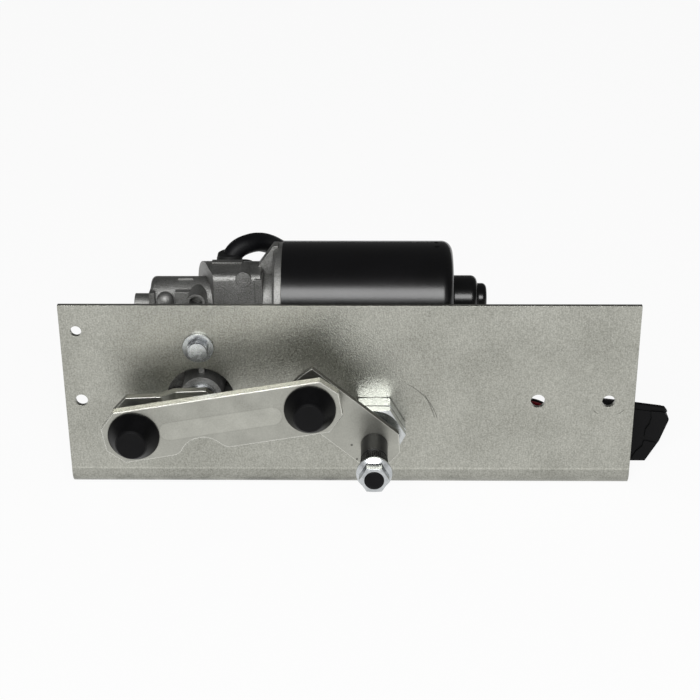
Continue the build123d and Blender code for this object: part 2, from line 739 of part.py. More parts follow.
with BuildPart() as windings:
    with BuildSketch(across(core_start - end_turn_length)):
        with PolarLocations(slot_circle, slot_count):
            Rectangle(slot_depth - 2 * part_gap, slot_width - 2 * part_gap)
    extrude(amount=core_end - core_start + 2 * end_turn_length)
    for turn_start in (core_start - end_turn_length, core_end + part_gap):
        with BuildSketch(across(turn_start)):
            Circle(core_radius - 3)
            Circle(armature_shaft_radius + 3, mode=Mode.SUBTRACT)
        extrude(amount=end_turn_length - part_gap)
write(windings, "windings")

with BuildPart() as commutator:
    with BuildSketch(across(commutator_start)):
        Circle(commutator_radius)
        Circle(armature_shaft_radius + slip, mode=Mode.SUBTRACT)
        with PolarLocations(commutator_radius, slot_count):
            Rectangle(2.0, 0.6, mode=Mode.SUBTRACT)
    extrude(amount=commutator_length)
write(commutator, "commutator")

# ---- Motor mounting -----------------------------------------------------------------------

bolt_washer_radius, bolt_washer_thickness = 8.0, 1.6
bolt_head_across_flats, bolt_head_height = 10.0, 4.3

with BuildPart() as bolt_washers:
    with BuildSketch(facing(shaft_x, shaft_z)):
        with PolarLocations(bolt_circle_radius, 3, start_angle=90):
            Circle(bolt_washer_radius)
            Circle(motor_bolt_radius + motor_bolt_clearance, mode=Mode.SUBTRACT)
    extrude(amount=bolt_washer_thickness)
write(bolt_washers, "bolt_washers")

with BuildPart() as motor_bolts:
    with BuildSketch(facing(shaft_x, shaft_z, bolt_washer_thickness)):
        with PolarLocations(bolt_circle_radius, 3, start_angle=90):
            RegularPolygon(bolt_head_across_flats / 2, 6, major_radius=False)
    extrude(amount=bolt_head_height)
    with BuildSketch(facing(shaft_x, shaft_z, bolt_washer_thickness + bolt_head_height)):
        with PolarLocations(bolt_circle_radius, 3, start_angle=90):
            Circle(bolt_head_across_flats)
            Circle(bolt_head_across_flats / 2 - 0.2, mode=Mode.SUBTRACT)
    extrude(amount=-0.8, taper=-60, mode=Mode.SUBTRACT)
    with BuildSketch(facing(shaft_x, shaft_z, bolt_washer_thickness)):
        with PolarLocations(bolt_circle_radius, 3, start_angle=90):
            Circle(motor_bolt_radius - slip)
    extrude(amount=-(bolt_washer_thickness + sheet + bolt_depth - 1.0))
write(motor_bolts, "motor_bolts")

# ---- Crank --------------------------------------------------------------------------------

corner_cut = arm_half_width * (1 - tan(radians(22.5)))
joggle_start, joggle_end, joggle_bend = 10.0, 17.0, 3.0
nut_flange_radius, nut_across_flats = 9.0, 13.0
crank_nut_height, spindle_nut_height = 7.5, 8.0
rivet_radius, rivet_head_radius, rivet_head_height = 4.0, 6.5, 2.0


def strip_outline(start, end, half_width, corner):
    """The outline of a flat arm with all four corners cut off."""
    Polygon(
        (start, half_width - corner),
        (start + corner, half_width),
        (end - corner, half_width),
        (end, half_width - corner),
        (end, corner - half_width),
        (end - corner, -half_width),
        (start + corner, -half_width),
        (start, corner - half_width),
        align=None,
    )


def flange_nut(x, z, seat, height, angle):
    """A flange nut on its seat, with rounded corners and a plain bore."""
    half_flats = nut_across_flats / 2
    corner = half_flats / cos(radians(30))
    with BuildPart() as nut:
        with BuildSketch(facing(x, z, seat, angle)):
            RegularPolygon(half_flats, 6, major_radius=False)
        extrude(amount=height)
        with BuildSketch(beside(x, z)):
            Polygon(
                (seat, 0),
                (seat, corner + 1),
                (seat + height - 1, corner + 1),
                (seat + height, half_flats - 0.2),
                (seat + height, 0),
                align=None,
            )
        revolve(axis=front_axis(x, z), mode=Mode.INTERSECT)
        with BuildSketch(beside(x, z)):
            Polygon(
                (seat, 0),
                (seat, nut_flange_radius),
                (seat + 1.2, nut_flange_radius),
                (seat + 2.6, half_flats),
                (seat + 2.6, 0),
                align=None,
            )
        revolve(axis=front_axis(x, z))
        with BuildSketch(facing(x, z, seat)):
            Circle(thread_radius + slip)
        extrude(amount=height, mode=Mode.SUBTRACT)
    return nut


with BuildPart() as crank_arm:
    with BuildSketch(beside(shaft_x, shaft_z, crank_angle)):
        with BuildLine():
            front_line = FilletPolyline(
                (crank_front, -2 * arm_half_width),
                (crank_front, joggle_start),
                (crank_arm_front, joggle_end),
                (crank_arm_front, crank_length + 2 * arm_half_width),
                radius=joggle_bend,
            )
            back_line = FilletPolyline(
                (crank_back, -2 * arm_half_width),
                (crank_back, joggle_start + crank_thickness / 3),
                (crank_arm_front - crank_thickness, joggle_end + crank_thickness / 3),
                (crank_arm_front - crank_thickness, crank_length + 2 * arm_half_width),
                radius=joggle_bend,
            )
            Line(front_line @ 0, back_line @ 0)
            Line(front_line @ 1, back_line @ 1)
        make_face()
    extrude(amount=arm_half_width, both=True)
    with BuildSketch(facing(shaft_x, shaft_z, crank_back, crank_angle)):
        strip_outline(-arm_half_width, crank_length + arm_half_width, arm_half_width, corner_cut)
    extrude(amount=crank_arm_front - crank_back, mode=Mode.INTERSECT)
    with BuildSketch(facing(shaft_x, shaft_z, crank_back)):
        Circle(shaft_radius + slip)
    extrude(amount=crank_thickness, mode=Mode.SUBTRACT)
    with BuildSketch(facing(crank_pin_x, crank_pin_z, crank_back)):
        Circle(rivet_radius + slip)
    extrude(amount=crank_arm_front - crank_back, mode=Mode.SUBTRACT)
write(crank_arm, "crank_arm")

with BuildPart() as crank_rivet:
    with BuildSketch(facing(crank_pin_x, crank_pin_z, crank_arm_front)):
        Circle(rivet_radius)
    extrude(amount=-crank_thickness)
    with BuildSketch(facing(crank_pin_x, crank_pin_z, crank_arm_front - crank_thickness)):
        Circle(rivet_head_radius)
    extrude(amount=-rivet_head_height, taper=25)
write(crank_rivet, "crank_rivet")

crank_nut = flange_nut(shaft_x, shaft_z, crank_front, crank_nut_height, 10)
write(crank_nut, "crank_nut")

# ---- Spindle pivot ------------------------------------------------------------------------

pivot_bore = 8.0
pivot_flange_radius, pivot_flange_back = 16.0, 8.0
pivot_tube_radius, pivot_back = 12.0, 38.0
pivot_nose = 18.5
pivot_nut_across_flats, pivot_nut_height = 28.6, 9.5
locknut_height = 6.0
locknut_seat = pivot_nut_height + part_gap
spindle_radius, spindle_shoulder = 6.0, 6.85
pivot_bush_length = 12.0
seal_thickness = 1.5

with BuildPart() as pivot_housing:
    with BuildSketch(beside(spindle_x, spindle_z)):
        with BuildLine():
            Polyline(
                (-pivot_back, pivot_bore),
                (-pivot_back, pivot_tube_radius - 1),
                (1 - pivot_back, pivot_tube_radius),
                (-pivot_flange_back - 2, pivot_tube_radius),
                (-pivot_flange_back, pivot_flange_radius),
                (-sheet, pivot_flange_radius),
                (-sheet, pivot_thread_radius),
                (pivot_nose - 1, pivot_thread_radius),
                (pivot_nose, pivot_thread_radius - 1),
                (pivot_nose, pivot_bore),
                close=True,
            )
        make_face()
    revolve(axis=front_axis(spindle_x, spindle_z))
write(pivot_housing, "pivot_housing")


def pivot_hex_nut(seat, height, angle):
    """One of the two nuts on the pivot's thread, with both rims rounded."""
    half_flats = pivot_nut_across_flats / 2
    corner = half_flats / cos(radians(30))
    with BuildPart() as nut:
        with BuildSketch(facing(spindle_x, spindle_z, seat, angle)):
            RegularPolygon(half_flats, 6, major_radius=False)
        extrude(amount=height)
        with BuildSketch(beside(spindle_x, spindle_z)):
            Polygon(
                (seat, pivot_thread_radius + slip),
                (seat, half_flats),
                (seat + 0.9, corner),
                (seat + height - 0.9, corner),
                (seat + height, half_flats),
                (seat + height, pivot_thread_radius + slip),
                align=None,
            )
        revolve(axis=front_axis(spindle_x, spindle_z), mode=Mode.INTERSECT)
    return nut


pivot_nut = pivot_hex_nut(0, pivot_nut_height, 0)
write(pivot_nut, "pivot_nut")

pivot_locknut = pivot_hex_nut(locknut_seat, locknut_height, 0)
write(pivot_locknut, "pivot_locknut")

with BuildPart() as pivot_bushes:
    for bush_face in (pivot_nose, pivot_bush_length - pivot_back):
        with BuildSketch(facing(spindle_x, spindle_z, bush_face)):
            Circle(pivot_bore - slip)
            Circle(spindle_radius + slip, mode=Mode.SUBTRACT)
        extrude(amount=-pivot_bush_length)
write(pivot_bushes, "pivot_bushes")

with BuildPart() as pivot_seal:
    with BuildSketch(facing(spindle_x, spindle_z, pivot_nose)):
        Circle(pivot_thread_radius - 0.3)
        Circle(spindle_radius + run_gap, mode=Mode.SUBTRACT)
    extrude(amount=seal_thickness)
write(pivot_seal, "pivot_seal")

# ---- Wiper spindle and lever --------------------------------------------------------------

spindle_groove, spindle_groove_depth = 43.0, 0.8
taper_start, taper_end, taper_tip_radius = 43.5, 54.5, 6.0
spindle_end = 63.0
circlip_thickness, circlip_groove_radius, circlip_radius = 1.2, 5.2, 9.0
rear_washer_thickness = 1.0
rear_washer_front = pivot_back + run_gap
circlip_front = rear_washer_front + rear_washer_thickness
spindle_back = circlip_front + circlip_thickness + 2.0
lever_end_straight, lever_end_crown = 10.0, 2.0
lever_bore = spindle_radius + slip

with BuildPart() as wiper_spindle:
    with BuildSketch(beside(spindle_x, spindle_z)):
        with BuildLine():
            Polyline(
                (-spindle_back, 0),
                (-spindle_back, spindle_radius - 0.8),
                (0.8 - spindle_back, spindle_radius),
                (-circlip_front - circlip_thickness, spindle_radius),
                (-circlip_front - circlip_thickness, circlip_groove_radius),
                (-circlip_front, circlip_groove_radius),
                (-circlip_front, spindle_radius),
                (lever_front, spindle_radius),
                (lever_front, spindle_shoulder),
                (spindle_groove - 0.5, spindle_shoulder),
                (spindle_groove, spindle_shoulder - spindle_groove_depth),
                (taper_start, spindle_shoulder),
                (taper_end, taper_tip_radius),
                (taper_end, thread_radius),
                (spindle_end - 0.8, thread_radius),
                (spindle_end, thread_radius - 0.8),
                (spindle_end, 0),
                close=True,
            )
        make_face()
    revolve(axis=front_axis(spindle_x, spindle_z))
write(wiper_spindle, "wiper_spindle")

spindle_nut = flange_nut(spindle_x, spindle_z, taper_end, spindle_nut_height, 0)
write(spindle_nut, "spindle_nut")

with BuildPart() as spindle_washers:
    with BuildSketch(facing(spindle_x, spindle_z, lever_back)):
        Circle(spindle_radius + 3)
        Circle(lever_bore, mode=Mode.SUBTRACT)
    extrude(amount=pivot_nose + seal_thickness + run_gap - lever_back)
    with BuildSketch(facing(spindle_x, spindle_z, -rear_washer_front)):
        Circle(pivot_tube_radius - 1)
        Circle(lever_bore, mode=Mode.SUBTRACT)
    extrude(amount=-rear_washer_thickness)
write(spindle_washers, "spindle_washers")

with BuildPart() as spindle_clip:
    with BuildSketch(facing(spindle_x, spindle_z, -circlip_front)):
        Circle(circlip_radius)
        Circle(circlip_groove_radius + slip, mode=Mode.SUBTRACT)
        with Locations((0, -circlip_radius)):
            Rectangle(5, circlip_radius, mode=Mode.SUBTRACT)
    extrude(amount=-circlip_thickness)
write(spindle_clip, "spindle_clip")

with BuildPart() as lever:
    with BuildSketch(facing(spindle_x, spindle_z, lever_back, lever_angle)):
        with BuildLine():
            lever_tip = lever_length + lever_end_straight
            Polyline(
                (lever_tip, arm_half_width),
                (corner_cut - arm_half_width, arm_half_width),
                (-arm_half_width, arm_half_width - corner_cut),
                (-arm_half_width, corner_cut - arm_half_width),
                (corner_cut - arm_half_width, -arm_half_width),
                (lever_tip, -arm_half_width),
            )
            ThreePointArc(
                (lever_tip, -arm_half_width),
                (lever_tip + lever_end_crown, 0),
                (lever_tip, arm_half_width),
            )
        make_face()
        Circle(lever_bore, mode=Mode.SUBTRACT)
        with Locations((lever_length, 0)):
            Circle(rivet_radius + slip, mode=Mode.SUBTRACT)
    extrude(amount=lever_thickness)
write(lever, "lever")

# ---- Link with its ball joints ------------------------------------------------------------

ball_radius, ball_station = 8.0, 37.5
ball_clearance = 0.08
neck_stud_radius = 4.5
socket_radius, socket_dome = 9.8, 9.4
socket_back, socket_front = 31.5, 40.0
socket_lip_radius = 11.0
cap_base_radius, cap_top_radius, cap_front, cap_wall = 13.0, 8.0, 49.5, 1.6
boot_base_radius, boot_tip_radius, boot_back = 11.0, 7.0, 27.3
stud_foot_radius, stud_foot_height = 6.0, 1.3
open_pivot_gap = 0.3
pins = ((crank_pin_x, crank_pin_z), (lever_pin_x, lever_pin_z))
link_corner = 8.1
relief_middle, relief_height, relief_radius, relief_corner = 32.5, -6.6, 12.0, 7.0
relief_point = facing(crank_pin_x, crank_pin_z, link_back, link_angle).from_local_coords(
    (relief_middle, -link_half_width, 0)
)


def ball_stud(x, z, foot_station, foot_radius):
    """A ball on a neck, turned about the pivot's axis, down to a foot."""
    shoulder = sqrt(ball_radius ** 2 - neck_stud_radius ** 2)
    with BuildPart() as stud:
        with BuildSketch(beside(x, z)):
            with BuildLine():
                Polyline(
                    (ball_station + ball_radius, 0),
                    (foot_station, 0),
                    (foot_station, foot_radius),
                    (foot_station + stud_foot_height, foot_radius),
                    (foot_station + stud_foot_height, neck_stud_radius),
                    (ball_station - shoulder, neck_stud_radius),
                )
                ThreePointArc(
                    (ball_station - shoulder, neck_stud_radius),
                    (ball_station, ball_radius),
                    (ball_station + ball_radius, 0),
                )
            make_face()
        revolve(axis=front_axis(x, z))
    return stud


crank_ball_stud = ball_stud(
    crank_pin_x,
    crank_pin_z,
    crank_arm_front + open_pivot_gap,
    neck_stud_radius + 0.4,
)
write(crank_ball_stud, "crank_ball_stud")

lever_ball = ball_stud(lever_pin_x, lever_pin_z, lever_front, stud_foot_radius)

with BuildPart() as lever_ball_stud:
    add(lever_ball)
    with BuildSketch(facing(lever_pin_x, lever_pin_z, lever_front)):
        Circle(rivet_radius)
    extrude(amount=-lever_thickness)
    with BuildSketch(facing(lever_pin_x, lever_pin_z, lever_back)):
        Circle(rivet_head_radius - 1.0)
    extrude(amount=-rivet_head_height, taper=25)
write(lever_ball_stud, "lever_ball_stud")

with BuildPart() as link:
    with BuildSketch(facing(crank_pin_x, crank_pin_z, link_back, link_angle)):
        strip_outline(-link_overhang, link_length + link_overhang, link_half_width, link_corner)
        with Locations((relief_middle, relief_height - relief_radius)):
            Circle(relief_radius, mode=Mode.SUBTRACT)
        for pin_place in (0, link_length):
            with Locations((pin_place, 0)):
                Circle(socket_radius + slip, mode=Mode.SUBTRACT)
    extrude(amount=link_thickness)
    relief_edges = link.edges().filter_by(Axis.Y)
    fillet(relief_edges.sort_by_distance(relief_point)[0:2], radius=relief_corner)
write(link, "link")

with BuildPart() as ball_sockets:
    for pin_x, pin_z in pins:
        cup_radius = ball_radius + ball_clearance
        mouth = sqrt(cup_radius ** 2 - (ball_station - socket_back) ** 2)
        dome_angle = acos((socket_front - ball_station) / socket_dome)
        dome_edge = socket_dome * sin(dome_angle)
        with BuildSketch(beside(pin_x, pin_z)):
            with BuildLine():
                Polyline(
                    (ball_station + cup_radius, 0),
                    (ball_station + socket_dome, 0),
                )
                ThreePointArc(
                    (ball_station + socket_dome, 0),
                    (
                        ball_station + socket_dome * cos(dome_angle / 2),
                        socket_dome * sin(dome_angle / 2),
                    ),
                    (socket_front, dome_edge),
                )
                Polyline(
                    (socket_front, dome_edge),
                    (socket_front, socket_radius),
                    (link_back, socket_radius),
                    (link_back, socket_lip_radius),
                    (socket_back, socket_lip_radius),
                    (socket_back, mouth),
                )
                ThreePointArc(
                    (socket_back, mouth),
                    (ball_station, cup_radius),
                    (ball_station + cup_radius, 0),
                )
            make_face()
        revolve(axis=front_axis(pin_x, pin_z))
write(ball_sockets, "ball_sockets")

with BuildPart() as ball_caps:
    for pin_x, pin_z in pins:
        with BuildSketch(beside(pin_x, pin_z)):
            with BuildLine():
                Polyline(
                    (link_front, cap_base_radius - cap_wall),
                    (link_front, cap_base_radius),
                    (link_front + 1.0, cap_base_radius),
                    (cap_front - 0.8, cap_top_radius),
                    (cap_front, cap_top_radius - 0.8),
                    (cap_front, 0),
                    (cap_front - cap_wall, 0),
                    (cap_front - cap_wall, cap_top_radius - cap_wall - 1.0),
                    close=True,
                )
            make_face()
        revolve(axis=front_axis(pin_x, pin_z))
write(ball_caps, "ball_caps")

with BuildPart() as dust_boots:
    for pin_x, pin_z in pins:
        with BuildSketch(beside(pin_x, pin_z)):
            with BuildLine():
                Polyline(
                    (boot_back, neck_stud_radius + run_gap),
                    (boot_back, boot_tip_radius),
                    (boot_back + 1.2, boot_tip_radius + 0.8),
                    (boot_back + 1.8, boot_tip_radius + 0.2),
                    (socket_back - 1.0, boot_base_radius),
                    (socket_back, boot_base_radius),
                    (socket_back, boot_base_radius - 1.6),
                    (boot_back + 1.6, neck_stud_radius + run_gap),
                    close=True,
                )
            make_face()
        revolve(axis=front_axis(pin_x, pin_z))
write(dust_boots, "dust_boots")

# ---- Cable loom and connector -------------------------------------------------------------

grommet_height, grommet_lip = 1.2, 2.0
sleeve_start = loom_boss_top - 4.5
sleeve_route = (
    (loom_x, loom_y, sleeve_start),
    (loom_x, loom_y, sleeve_start + 5.6),
    (-63.8, face_y + 52.8, 113.7),
    (-60.6, face_y + 54.3, 117.2),
    (-56.2, face_y + 56.4, 119.1),
    (-50.4, face_y + 60.6, 119.1),
    (-44.7, face_y + 67.5, 114.9),
    (-39.0, face_y + 75.0, 107.9),
    (-27.0, face_y + 80.0, 94.0),
    (-13.0, face_y + 81.0, 76.0),
    (0.0, face_y + 77.0, 54.0),
    (8.0, face_y + 68.0, 32.0),
    (20.0, face_y + 60.0, 12.5),
    (38.0, face_y + 56.0, 8.3),
    (62.0, face_y + 57.0, 8.3),
    (78.0, face_y + 58.0, 11.0),
    (88.0, face_y + 58.0, 17.0),
)
wire_route = (
    (88.0, face_y + 58.0, 17.0),
    (96.0, face_y + 58.0, 21.8),
    (104.0, face_y + 53.0, 24.3),
    (112.0, face_y + 44.5, 22.5),
    (119.5, face_y + 39.0, 20.5),
    (128.5, face_y + 39.0, 20.5),
)
wire_radius = 1.2
wire_spread, wire_rise = 1.8, 2.0
wire_places = ((-wire_spread, wire_rise), (wire_spread, -wire_rise), (wire_spread, wire_rise))


def route_radii(route):
    """The radius of the arc at each inner point of a route: as large as its two runs allow."""
    radii = []
    points = [Vector(point) for point in route]
    for before, corner, after in zip(points, points[1:], points[2:]):
        first_run, second_run = corner - before, after - corner
        half_turn = radians(first_run.get_angle(second_run)) / 2
        radii.append(0.45 * min(first_run.length, second_run.length) / tan(half_turn))
    return radii


def tube(route, radius):
    """A round cord along straight runs joined by tangent arcs."""
    radii = route_radii(route)
    with BuildPart() as cord:
        with BuildLine():
            centre_line = FilletPolyline(*route, radius=radii)
        with BuildSketch(Plane(origin=centre_line @ 0, z_dir=centre_line % 0)):
            Circle(radius)
        sweep(path=centre_line)
    filled = cord.part.volume / (pi * radius ** 2 * centre_line.length)
    print(f"length {centre_line.length:.1f}, volume over section times length {filled:.4f}")
    print("arc radii", ", ".join(f"{arc:.1f}" for arc in radii))
    return cord


def wire(spread, rise):
    """One of the loom's wires, which leaves the sleeve's end square to it."""
    sleeve_end = Vector(*sleeve_route[-1]) - Vector(*sleeve_route[-2])
    leaving = sleeve_end.normalized()
    route = [(x - rise * leaving.Z, y + spread, z + rise * leaving.X) for x, y, z in wire_route[:2]]
    route += [(x, y + spread, z + rise) for x, y, z in wire_route[2:]]
    return tube(route, wire_radius)


with BuildPart() as cable_grommet:
    with BuildSketch(Plane(origin=(loom_x, loom_y, loom_boss_top), z_dir=(0, 0, 1))):
        Circle(grommet_flange)
    extrude(amount=grommet_height, taper=10)
    with BuildSketch(Plane(origin=(loom_x, loom_y, sleeve_start - grommet_lip), z_dir=(0, 0, 1))):
        Circle(grommet_neck - slip)
    extrude(amount=loom_boss_top - sleeve_start + grommet_lip)
    with BuildSketch(Plane(origin=(loom_x, loom_y, sleeve_start), z_dir=(0, 0, 1))):
        Circle(loom_radius + run_gap)
    extrude(amount=loom_boss_top + grommet_height - sleeve_start, mode=Mode.SUBTRACT)
    with BuildSketch(Plane(origin=(loom_x, loom_y, sleeve_start), z_dir=(0, 0, 1))):
        Circle(loom_radius - 1.0)
    extrude(amount=-grommet_lip, mode=Mode.SUBTRACT)
write(cable_grommet, "cable_grommet")

loom_sleeve = tube(sleeve_route, loom_radius)
write(loom_sleeve, "loom_sleeve")

red_wire = wire(-wire_spread, -wire_rise)
write(red_wire, "red_wire")

with BuildPart() as dark_wires:
    for spread, rise in wire_places:
        add(wire(spread, rise))
write(dark_wires, "dark_wires")

connector_front, connector_depth = face_y + 28.0, 22.0
connector_start, connector_tip, connector_floor = 126.0, 175.2, 0.6
heel_setback, brow_setback, chin_setback, toe_setback = 19.7, 3.0, 4.7, 11.7
rear_height, heel_height, brow_height, tip_height, chin_height = 36.8, 32.6, 30.1, 27.0, 13.1
rear_floor, rear_bevel, heel_bevel = 5.0, 2.5, 3.0
connector_corner = 3.0
latch_inset, latch_length, latch_tail, latch_rise = 2.0, 14.0, 10.0, 3.0
heel = connector_tip - heel_setback
brow = connector_tip - brow_setback
mouth_depth, mouth_low, mouth_high, mouth_side = 17.2, 10.0, 26.0, 7.5
mouth_floor = connector_tip - mouth_depth
terminal_width, terminal_thickness = 2.8, 0.8
terminal_start, terminal_end = wire_route[-1][0], mouth_floor + 2.0
wire_end_y, wire_end_z = face_y + 39.0, 20.5
terminal_plane = Plane(origin=(0, wire_end_y, wire_end_z), x_dir=(0, 1, 0), z_dir=(1, 0, 0))

with BuildPart() as connector_body:
    with BuildSketch(Plane(origin=(0, connector_front, 0), x_dir=(1, 0, 0), z_dir=(0, -1, 0))):
        Polygon(
            (connector_start, rear_height),
            (heel, heel_height),
            (brow, brow_height),
            (connector_tip, tip_height),
            (connector_tip - chin_setback, chin_height),
            (connector_tip - toe_setback, connector_floor),
            (heel, connector_floor),
            (heel - heel_bevel, connector_floor + heel_bevel),
            (connector_start + rear_bevel, rear_floor),
            (connector_start, rear_floor + rear_bevel),
            align=None,
        )
    extrude(amount=-connector_depth)
    connector_edges = connector_body.edges().filter_by(Axis.Y)
    fillet(connector_edges.group_by(Axis.X)[-1], radius=connector_corner)
    with BuildSketch(terminal_plane.offset(mouth_floor)):
        with Locations((0, (mouth_low + mouth_high) / 2 - wire_end_z)):
            Rectangle(2 * mouth_side, mouth_high - mouth_low)
    extrude(amount=2 * mouth_depth, mode=Mode.SUBTRACT)
    with BuildSketch(terminal_plane.offset(connector_start)):
        with GridLocations(2 * wire_spread, 2 * wire_rise, 2, 2):
            Circle(wire_radius + part_gap)
    extrude(amount=terminal_start - connector_start, mode=Mode.SUBTRACT)
    with BuildSketch(terminal_plane.offset(terminal_start)):
        with GridLocations(2 * wire_spread, 2 * wire_rise, 2, 2):
            Rectangle(terminal_thickness + 2 * slip, terminal_width + 2 * slip)
    extrude(amount=mouth_floor - terminal_start, mode=Mode.SUBTRACT)
write(connector_body, "connector_body")

with BuildPart() as terminals:
    with BuildSketch(terminal_plane.offset(terminal_start)):
        with GridLocations(2 * wire_spread, 2 * wire_rise, 2, 2):
            Rectangle(terminal_thickness, terminal_width)
    extrude(amount=terminal_end - terminal_start)
write(terminals, "terminals")

rear_slope = (rear_height - heel_height) / (heel - connector_start)
latch_plane = Plane(origin=(0, connector_front + latch_inset, 0), x_dir=(1, 0, 0), z_dir=(0, -1, 0))

with BuildPart() as connector_latch:
    with BuildSketch(latch_plane):
        Polygon(
            (heel - latch_length, heel_height + latch_length * rear_slope),
            (heel, heel_height),
            (brow, brow_height),
            (brow + latch_rise / 2, brow_height + latch_rise / 3),
            (brow, brow_height + latch_rise),
            (heel, heel_height + latch_rise),
            (heel - latch_tail, heel_height + latch_tail * rear_slope + latch_rise),
            align=None,
        )
    extrude(amount=2 * latch_inset - connector_depth)
write(connector_latch, "connector_latch")
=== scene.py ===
import json
import math

import bmesh
import bpy
from mathutils import Matrix, Vector


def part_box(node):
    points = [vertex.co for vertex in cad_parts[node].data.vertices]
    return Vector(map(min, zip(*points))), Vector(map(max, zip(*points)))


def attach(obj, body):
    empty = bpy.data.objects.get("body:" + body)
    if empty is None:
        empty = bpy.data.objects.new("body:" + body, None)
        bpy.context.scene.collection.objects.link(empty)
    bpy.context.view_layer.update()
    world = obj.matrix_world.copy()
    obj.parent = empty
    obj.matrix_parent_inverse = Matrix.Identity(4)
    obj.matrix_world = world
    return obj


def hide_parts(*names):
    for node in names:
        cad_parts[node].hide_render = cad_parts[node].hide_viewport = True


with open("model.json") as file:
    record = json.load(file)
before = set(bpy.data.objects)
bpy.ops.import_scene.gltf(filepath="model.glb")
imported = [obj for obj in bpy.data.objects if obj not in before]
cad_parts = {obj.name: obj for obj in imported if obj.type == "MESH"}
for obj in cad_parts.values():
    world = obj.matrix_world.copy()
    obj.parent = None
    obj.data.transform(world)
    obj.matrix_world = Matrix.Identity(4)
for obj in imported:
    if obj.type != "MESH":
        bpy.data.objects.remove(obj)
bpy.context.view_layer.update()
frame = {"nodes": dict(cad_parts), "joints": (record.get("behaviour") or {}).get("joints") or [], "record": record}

# A wiper motor on its bracket, in the row's frame: X along the bracket, Y to its back, Z up.

MM = 0.001
nodes = frame["nodes"]

# ---- Places taken from the frame ----------------------------------------------------------

FACE_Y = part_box("bracket")[0].y
SPINDLE = next(
    Vector(joint["pos_m"]) for joint in frame["joints"] if joint["name"] == "spindle_swing"
)
# Where the joint between the pivot's two nuts is along Y, in millimetres.
NUT_JOINT = (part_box("pivot_nut")[0].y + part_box("pivot_locknut")[1].y) / 2 / MM


def ahead(x, depth, z):
    """The point at x and z, depth in front of the bracket's face."""
    return Vector((x * MM, FACE_Y - depth * MM, z * MM))


# ---- Camera -------------------------------------------------------------------------------

PHOTO_SIZE = 700
FOCAL_PIXELS = 1514.2
SENSOR_WIDTH = 36.0
CAMERA_PLACE = Vector((0.01287, -0.74686, 0.41312))
CAMERA_DOWN, CAMERA_TURN = math.radians(25.0), math.radians(1.0)
CAMERA_ROLL = math.radians(-0.32)


def add_camera():
    """The photograph's camera: in front of the bracket, looking down on it."""
    data = bpy.data.cameras.new("photo_camera")
    data.sensor_width = SENSOR_WIDTH
    data.lens = FOCAL_PIXELS / PHOTO_SIZE * SENSOR_WIDTH
    camera = bpy.data.objects.new("photo_camera", data)
    bpy.context.scene.collection.objects.link(camera)
    turn = Matrix.Rotation(CAMERA_TURN, 4, "Z")
    tilt = Matrix.Rotation(math.pi / 2 - CAMERA_DOWN, 4, "X")
    roll = Matrix.Rotation(CAMERA_ROLL, 4, "Z")
    camera.matrix_world = Matrix.Translation(CAMERA_PLACE) @ turn @ tilt @ roll
    bpy.context.scene.camera = camera


# ---- Materials ----------------------------------------------------------------------------

def add_node(tree, kind, **settings):
    """A shader node with its properties and inputs set by name."""
    node = tree.nodes.new(kind)
    for name, value in settings.items():
        if name in node.inputs:
            node.inputs[name].default_value = value
        else:
            setattr(node, name, value)
    return node


def calc(tree, operation, *values):
    """A Math node on sockets and numbers."""
    node = add_node(tree, "ShaderNodeMath", operation=operation)
    for socket, value in zip(node.inputs, values):
        if isinstance(value, bpy.types.NodeSocket):
            tree.links.new(value, socket)
        else:
            socket.default_value = value
    return node.outputs[0]


def product(tree, first, *others):
    """The product of sockets and numbers, taken from left to right."""
    total = first
    for value in others:
        total = calc(tree, "MULTIPLY", total, value)
    return total


def gap(tree, value, centre):
    """How far value is from centre, on either side."""
    return calc(tree, "ABSOLUTE", calc(tree, "SUBTRACT", value, centre))


def hypotenuse(tree, across, up):
    """How far the point (across, up) is from (0, 0)."""
    squares = [calc(tree, "POWER", side, 2.0) for side in (across, up)]
    return calc(tree, "SQRT", calc(tree, "ADD", *squares))


def distance(tree, x, z, centre_x, centre_z):
    """How far the point (x, z) is from the centre."""
    across, up = calc(tree, "SUBTRACT", x, centre_x), calc(tree, "SUBTRACT", z, centre_z)
    return hypotenuse(tree, across, up)


def ramp(tree, value, start, end, first=0.0, last=1.0, soft=False):
    """value carried from start..end to first..last, and held beyond both ends."""
    shape = "SMOOTHSTEP" if soft else "LINEAR"
    node = add_node(tree, "ShaderNodeMapRange", interpolation_type=shape)
    limits = {"From Min": start, "From Max": end, "To Min": first, "To Max": last}
    for socket, number in limits.items():
        node.inputs[socket].default_value = number
    tree.links.new(value, node.inputs["Value"])
    return node.outputs["Result"]


# The middle part of a noise's values, which is stretched over the whole range.
NOISE_LOW, NOISE_HIGH = 0.33, 0.67


def noise_value(tree, size, low=0.0, high=1.0, detail=3.0, stretch=(1.0, 1.0, 1.0)):
    """A value between low and high that varies over about size."""
    place = add_node(tree, "ShaderNodeTexCoord")
    mapping = add_node(tree, "ShaderNodeMapping", Scale=stretch)
    noise = add_node(tree, "ShaderNodeTexNoise", Scale=1.0 / (size * MM), Detail=detail)
    tree.links.new(place.outputs["Object"], mapping.inputs["Vector"])
    tree.links.new(mapping.outputs["Vector"], noise.inputs["Vector"])
    return ramp(tree, noise.outputs["Fac"], NOISE_LOW, NOISE_HIGH, low, high)


def places(tree, axes="XZ"):
    """A point's places along the row frame's axes, at rest and in millimetres."""
    place = add_node(tree, "ShaderNodeTexCoord")
    parts = add_node(tree, "ShaderNodeSeparateXYZ")
    tree.links.new(place.outputs["Object"], parts.inputs[0])
    return [calc(tree, "DIVIDE", parts.outputs[axis], MM) for axis in axes]


